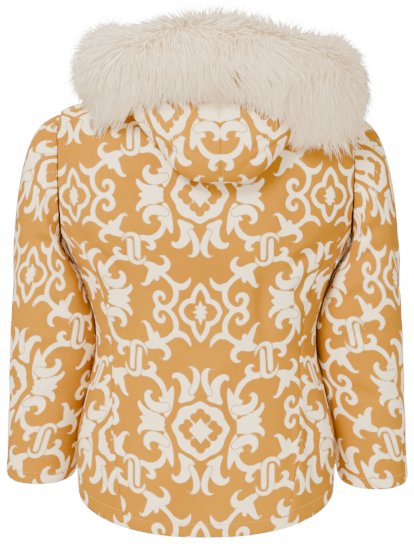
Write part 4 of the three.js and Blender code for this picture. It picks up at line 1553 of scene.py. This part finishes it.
@dataclass
class FurRuff:
    """The long-haired ruff on the hood's edge: a pelt inside the solid's form, and locks that reach past it."""

    pelt_voxel: float = 7.0
    pelt_depth: float = 16.0
    locks: int = 34500
    pieces: int = 3
    clear: float = 9.0
    lengths: tuple[float, float] = (25.0, 42.0)
    half_width: float = 0.9
    beyond: float = 13.0
    droop: float = 0.22
    # Tan spots, as across and up: flecks in the fur, and at (-122, -104) and (114, -76) painted shade in the
    # ruff's lower corners where it meets the hood.
    tan_spots_and_corner_shade: tuple[tuple[float, float], ...] = (
        (-29, 0), (-56, -21), (-28, -45), (-122, -104), (114, -76), (-80, 6))  # across and up
    spot_reach: float = 5.0
    shrink_steps: int = 6
    least_length: float = 4.0
    ring_places: tuple[tuple[float, float], ...] = ((0.0, 0.9), (0.45, 1.0))  # shares of length and width
    cloth_nodes: tuple[str, ...] = (
        "back_panel", "front_left", "front_right", "sleeve_left", "sleeve_right", "hood_left", "hood_right")

    def pelt(self, finish: bpy.types.Material) -> bpy.types.Object:
        """Makes the pelt from the solid's own form, a little smaller.

        Args:
            finish: the pelt's material.

        Returns:
            The piece.
        """
        skin = bmesh.new()
        skin.from_mesh(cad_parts["fur_trim"].data)
        bmesh.ops.remove_doubles(skin, verts=skin.verts, dist=0.05 * MM)
        mesh = bpy.data.meshes.new("fur_pelt")
        skin.to_mesh(mesh)
        skin.free()
        blank = bpy.data.objects.new("pelt_blank", mesh)
        bpy.context.scene.collection.objects.link(blank)
        remesh = blank.modifiers.new("even mesh", "REMESH")
        remesh.mode = "VOXEL"
        remesh.voxel_size = self.pelt_voxel * MM
        bpy.context.view_layer.update()
        even = bpy.data.meshes.new_from_object(blank.evaluated_get(bpy.context.evaluated_depsgraph_get()))
        bpy.data.objects.remove(blank)
        skin = bmesh.new()
        skin.from_mesh(even)
        for _ in range(self.shrink_steps):
            skin.normal_update()
            moves = [vert.normal * (self.pelt_depth * MM / self.shrink_steps) for vert in skin.verts]
            for vert, move in zip(skin.verts, moves):
                vert.co -= move
            bmesh.ops.smooth_vert(skin, verts=skin.verts, factor=0.5, use_axis_x=True, use_axis_y=True,
                                  use_axis_z=True)
        for face in skin.faces:
            face.smooth = True
        skin.to_mesh(even)
        skin.free()
        even.name = "fur_pelt"
        even.materials.clear()
        even.materials.append(finish)
        return link_piece("fur_pelt", even, ("fur_trim",))

    def coat(self) -> BVHTree:
        """Gathers the coat's cloth, for rays.

        Returns:
            One tree of its faces.
        """
        verts, faces = [], []
        for name in self.cloth_nodes:
            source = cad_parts[name].data
            faces += [[len(verts) + k for k in poly.vertices] for poly in source.polygons]
            verts += [vert.co[:] for vert in source.vertices]
        return BVHTree.FromPolygons(verts, faces)

    def roots(self, pelt: bpy.types.Object, chance: np.random.Generator) -> tuple[np.ndarray, np.ndarray]:
        """Picks where the locks grow.

        Args:
            pelt: the skin.
            chance: the seeded random source.

        Returns:
            Roots and outward directions, in millimetres.
        """
        mesh = pelt.data
        mesh.calc_loop_triangles()
        corners = [[mesh.vertices[k].co[:] for k in triangle.vertices] for triangle in mesh.loop_triangles]
        corners = np.array(corners) / MM
        normals = np.cross(corners[:, 1] - corners[:, 0], corners[:, 2] - corners[:, 0])
        area = np.linalg.norm(normals, axis=1)
        normals = unit(normals)
        coat = self.coat()
        open_to_air = np.array([
            coat.ray_cast(Vector(middle * MM), Vector(normal), self.clear * MM)[0] is None
            for middle, normal in zip(corners.mean(1), normals)])
        area = area * open_to_air
        picked = chance.choice(len(area), self.locks, p=area / area.sum())
        a, b = chance.random(self.locks), chance.random(self.locks)
        over = a + b > 1
        a, b = np.where(over, 1 - a, a), np.where(over, 1 - b, b)
        first, second, third = corners[picked].transpose(1, 0, 2)
        roots = first + a[:, None] * (second - first) + b[:, None] * (third - first)
        return roots, normals[picked]

    def combed(self, roots: np.ndarray, out: np.ndarray,
               chance: np.random.Generator) -> tuple[np.ndarray, np.ndarray, np.ndarray]:
        """Combs the locks down and to the sides in broad swirls.

        Args:
            roots, out: where the locks grow and the way out of the pelt.
            chance: the seeded random source.

        Returns:
            Each lock's direction, the bend added towards its tip, and its length.
        """
        swirl = np.stack([
            np.sin(roots[:, 1] / 19 + 1.3) + np.sin(roots[:, 2] / 13 + roots[:, 0] / 31),
            np.sin(roots[:, 0] / 23 + 0.4) + np.sin(roots[:, 2] / 17 + 2.1),
            np.sin(roots[:, 0] / 16 + roots[:, 1] / 27 + 3.0) - 0.5,
        ], -1)
        comb = np.array([0, 0, -1.0]) + 0.4 * swirl
        comb = comb - out * np.sum(comb * out, -1, keepdims=True)
        run = unit(out * 0.5 + 0.85 * comb + 0.12 * chance.normal(size=roots.shape))
        length = chance.uniform(*self.lengths, len(roots))
        bend = unit(0.3 * chance.normal(size=roots.shape) + 0.5 * swirl + np.array([0, 0, -0.9])) * self.droop
        return run, bend, length

    def trimmed(self, roots: np.ndarray, run: np.ndarray, bend: np.ndarray, length: np.ndarray) -> np.ndarray:
        """Shortens the locks that would go through the cloth or far past the part's box.

        Args:
            roots, run, bend, length: the locks.

        Returns:
            Their new lengths.
        """
        coat = self.coat()
        for k, (root, way) in enumerate(zip(roots, unit(run + bend))):
            distance = coat.ray_cast(Vector(root * MM), Vector(way), length[k] * 1.2 * MM)[3]
            if distance is not None:
                length[k] = max(0.7 * distance / MM, self.least_length)
        low, high = np.array(CAD_BOUNDS) / MM
        tips = roots + (run + bend) * length[:, None]
        excess = np.maximum(tips - high, low - tips) - self.beyond
        travel = np.abs(tips - roots)
        return length * np.clip(1 - (excess / np.maximum(travel, 0.1)).max(-1), 0.15, 1)

    def tints(self, roots: np.ndarray, chance: np.random.Generator) -> np.ndarray:
        """Gives each lock's tint: soft patches of cream, a few tan locks and flecks, and tan painted shade.

        Args:
            roots: where the locks grow.
            chance: the seeded random source.

        Returns:
            From 0 for the palest to 1 for tan.
        """
        x, y, z = roots.T
        patch = 0.5 + 0.25 * np.sin(x / 21 + z / 14) + 0.25 * np.sin(y / 17 - z / 25)
        tint = np.clip(0.25 + 0.5 * patch * ease(-20, 70, z) + chance.normal(0, 0.16, len(roots)), 0, 0.88)
        # Tan locks at the listed spots: flecks, and painted shade in the ruff's lower corners.
        for spot_x, spot_z in self.tan_spots_and_corner_shade:
            near = (np.hypot(x - spot_x, z - spot_z) < self.spot_reach) & (y > 0)
            tint = np.where(near & (chance.random(len(roots)) < 0.7), 1.0, tint)
        return np.where(chance.random(len(roots)) < 0.004, 1.0, tint)

    def grow(self, pelt: bpy.types.Object, finish: bpy.types.Material) -> list[bpy.types.Object]:
        """Grows the locks, each a three-sided spike with two rings and a tip.

        Args:
            pelt: the skin.
            finish: the locks' material.

        Returns:
            The pieces, each a share of the locks.
        """
        chance = np.random.default_rng(SEED)
        roots, out = self.roots(pelt, chance)
        run, bend, length = self.combed(roots, out, chance)
        length = self.trimmed(roots, run, bend, length)
        side = unit(np.cross(run, chance.normal(size=roots.shape)))
        other = np.cross(run, side)
        rings = []
        for share, half in self.ring_places:
            middle = roots + run * (length * share)[:, None] + bend * (length * share**2)[:, None]
            for turn in (0, 2 * np.pi / 3, 4 * np.pi / 3):
                rings.append(middle + half * self.half_width * (side * np.cos(turn) + other * np.sin(turn)))
        rings.append(roots + run * length[:, None] + bend * length[:, None])
        verts = np.stack(rings, 1)
        size = len(rings)
        faces = [(k, (k + 1) % 3, 3 + (k + 1) % 3, 3 + k) for k in range(3)]
        faces += [(3, 4, 6), (4, 5, 6), (5, 3, 6)]
        tint = self.tints(roots, chance)
        reach = np.repeat([*(share for share, _ in self.ring_places), 1.0], [3, 3, 1])
        soft = unit(out + 0.25 * run + 0.12 * chance.normal(size=roots.shape))
        made = []
        for number, share in enumerate(np.array_split(np.arange(len(roots)), self.pieces), 1):
            mesh = joined_copies(f"fur_locks_{number}", verts[share] * MM, faces)
            read_by_fur = {"tint": np.repeat(tint[share], size), "reach": np.tile(reach, len(share))}
            for name, values in read_by_fur.items():
                mesh.attributes.new(name, "FLOAT", "POINT").data.foreach_set("value", values)
            mesh.materials.append(finish)
            mesh.normals_split_custom_set_from_vertices(np.repeat(soft[share], size, axis=0))
            made.append(link_piece(f"fur_locks_{number}", mesh))
        return made


@dataclass
class Studio:
    """A pale floor, soft light and the camera, behind the coat and a little below its collar."""

    camera_place: tuple[float, float, float] = (-0.0015, 2.1, -0.3)
    focal_pixels: float = 1381.6
    frame_high: int = 550
    horizon_below: float = 7.0
    floor_level: float = -1.45
    room_light: float = 0.9
    room_seen: float = 16.0
    looked_at: tuple[float, float, float] = (0, 0, -0.3)  # what the lamps point at
    lamps: tuple[tuple[str, tuple[float, float, float], float, float], ...] = (
        ("key", (1.5, 3.0, 1.9), 1.4, 330), ("fill", (-2.4, 2.2, 0.5), 2.0, 60),
        ("front", (0.6, -3.0, 1.4), 2.0, 150))  # name, place and size in metres, watts

    def camera(self) -> None:
        """Makes the camera."""
        data = bpy.data.cameras.new("camera")
        data.sensor_width = 36
        data.lens = self.focal_pixels / self.frame_high * data.sensor_width
        data.clip_end = 50
        camera = bpy.data.objects.new("camera", data)
        tilt = math.atan(self.horizon_below / self.focal_pixels)
        camera.location = self.camera_place
        camera.rotation_euler = (math.pi / 2 + tilt, 0, math.pi)
        bpy.context.scene.collection.objects.link(camera)
        bpy.context.scene.camera = camera

    def lights(self) -> None:
        """Makes the lights and the pale surroundings."""
        world = bpy.data.worlds.new("white room")
        world.use_nodes = True
        tree = world.node_tree
        tree.nodes.clear()
        seen = add_node(tree, "ShaderNodeLightPath").outputs["Is Camera Ray"]
        strength = add_node(tree, "ShaderNodeMapRange", None, {
            "Value": seen, "To Min": self.room_light, "To Max": self.room_seen}).outputs["Result"]
        room = add_node(tree, "ShaderNodeBackground", None, {"Color": (1, 1, 1, 1), "Strength": strength})
        add_node(tree, "ShaderNodeOutputWorld", None, {"Surface": room.outputs["Background"]})
        bpy.context.scene.world = world
        for name, place, size, energy in self.lamps:
            data = bpy.data.lights.new(name, "AREA")
            data.shape = "DISK"
            data.size = size
            data.energy = energy
            light = bpy.data.objects.new(name, data)
            light.location = place
            aim = Vector(self.looked_at) - Vector(place)
            light.rotation_euler = aim.to_track_quat("-Z", "Y").to_euler()
            bpy.context.scene.collection.objects.link(light)

    def floor(self) -> None:
        """Lays the floor."""
        sheet = bmesh.new()
        bmesh.ops.create_circle(sheet, cap_ends=True, segments=96, radius=2.6,
                                matrix=Matrix.Translation((0, 0, self.floor_level)))
        mesh = bpy.data.meshes.new("floor")
        sheet.to_mesh(mesh)
        sheet.free()
        mesh.materials.append(PaperSweep().build())
        floor = bpy.data.objects.new("floor", mesh)
        bpy.context.scene.collection.objects.link(floor)


SLEEVE_CREASES = {
    1: (
        Crease(-62, -262, 30, -236, 8, -3.4, 5),
        Crease(-60, -300, 44, -268, 9, -3.0, -5),
        Crease(-66, -352, 20, -330, 8, -2.6, 6),
        Crease(-50, -410, 60, -380, 10, -2.2, -5),
        Crease(-40, -470, 50, -492, 10, -2.0, 4),
        Crease(70, -190, 96, -330, 12, -2.0, 6),
        Crease(130, -270, 200, -240, 9, -2.6, 5),
        Crease(120, -330, 210, -360, 10, -2.4, -5),
        Crease(10, -150, 40, -230, 12, -1.8, -5),
        Crease(20, -520, 34, -585, 12, -1.6, 3),
    ),
    -1: (
        Crease(-64, -248, 26, -222, 8, -3.6, 5),
        Crease(-58, -284, 40, -252, 9, -3.2, 6),
        Crease(-66, -330, 30, -300, 9, -2.8, -5),
        Crease(-54, -392, 58, -372, 10, -2.2, 5),
        Crease(-44, -452, 44, -480, 10, -2.2, -4),
        Crease(64, -200, 104, -320, 12, -2.2, -6),
        Crease(128, -262, 206, -250, 9, -2.4, 5),
        Crease(116, -340, 204, -352, 10, -2.4, 5),
        Crease(0, -160, 36, -224, 12, -2.0, 5),
        Crease(-30, -530, -12, -588, 12, -1.8, 3),
    ),
}


def sew_hems(panels: dict[str, ClothPanel], thread: bpy.types.Material) -> dict[str, bpy.types.Object]:
    """Sews the hem, cuff and band stitching.

    Args:
        panels: the cloth panels by name.
        thread: the thread's finish.

    Returns:
        The rows of stitches by the panel that they are on.
    """
    sewing = Stitching()
    made = {}
    for name, panel in panels.items():
        if "hood" in name:
            continue
        if "band" in name:
            from_middle = BAND_WIDTH / 2 - BAND_STITCH
            left, right = (int(np.argmin(np.abs(panel.u[0] - at))) for at in (-from_middle, from_middle))
            path = np.concatenate([panel.points[:, left], panel.points[::-1, right]])
            ways = np.concatenate([panel.normals[:, left], panel.normals[::-1, right]])
        else:
            rise = panel.v - panel.v[0]
            row = int(np.argmin(np.abs(rise[:, rise.shape[1] // 2] - HEM_STITCH)))
            path, ways = panel.points[row], panel.normals[row]
        made[name] = sewing.along(name.replace("cloth", "stitches"), path, ways, thread)
    return made


def main() -> None:
    """Builds the coat and its surroundings."""
    logging.basicConfig(level=logging.INFO, format="%(name)s %(message)s")
    studio = Studio()
    studio.camera()
    studio.lights()
    studio.floor()
    artwork = Print()
    cotton = PrintedCotton()
    right_side, reverse = cotton.build(Face.OUTER), cotton.build(Face.INNER)
    thread, horn = SpunThread().build(), PolishedHorn().build()
    body, hood = CoatBody(), Hood()
    left = Sleeve(1, (28, -289), SLEEVE_CREASES[1])
    right = Sleeve(-1, (60, -294), SLEEVE_CREASES[-1], against_body=6.5)
    layouts = [body.back(), body.front(1), body.front(-1), body.band(), left.panel(), right.panel(),
               hood.panel(1), hood.panel(-1)]
    panels = {panel.name: panel for panel in layouts}
    cloth = {name: panel.build(artwork, right_side, reverse) for name, panel in panels.items()}
    stitches = sew_hems(panels, thread)
    for name, panel in panels.items():
        panel.declare(cloth[name], (stitches[name],) if name in stitches else ())
    buttons = HornButtons()
    for number, level in enumerate(BUTTON_LEVELS, 1):
        buttons.build(number, float(level), horn, thread)
    fur = LongFur()
    ruff = FurRuff()
    pelt = ruff.pelt(fur.build(strands=False))
    ruff.grow(pelt, fur.build(strands=True))


if __name__ == "__main__":
    main()
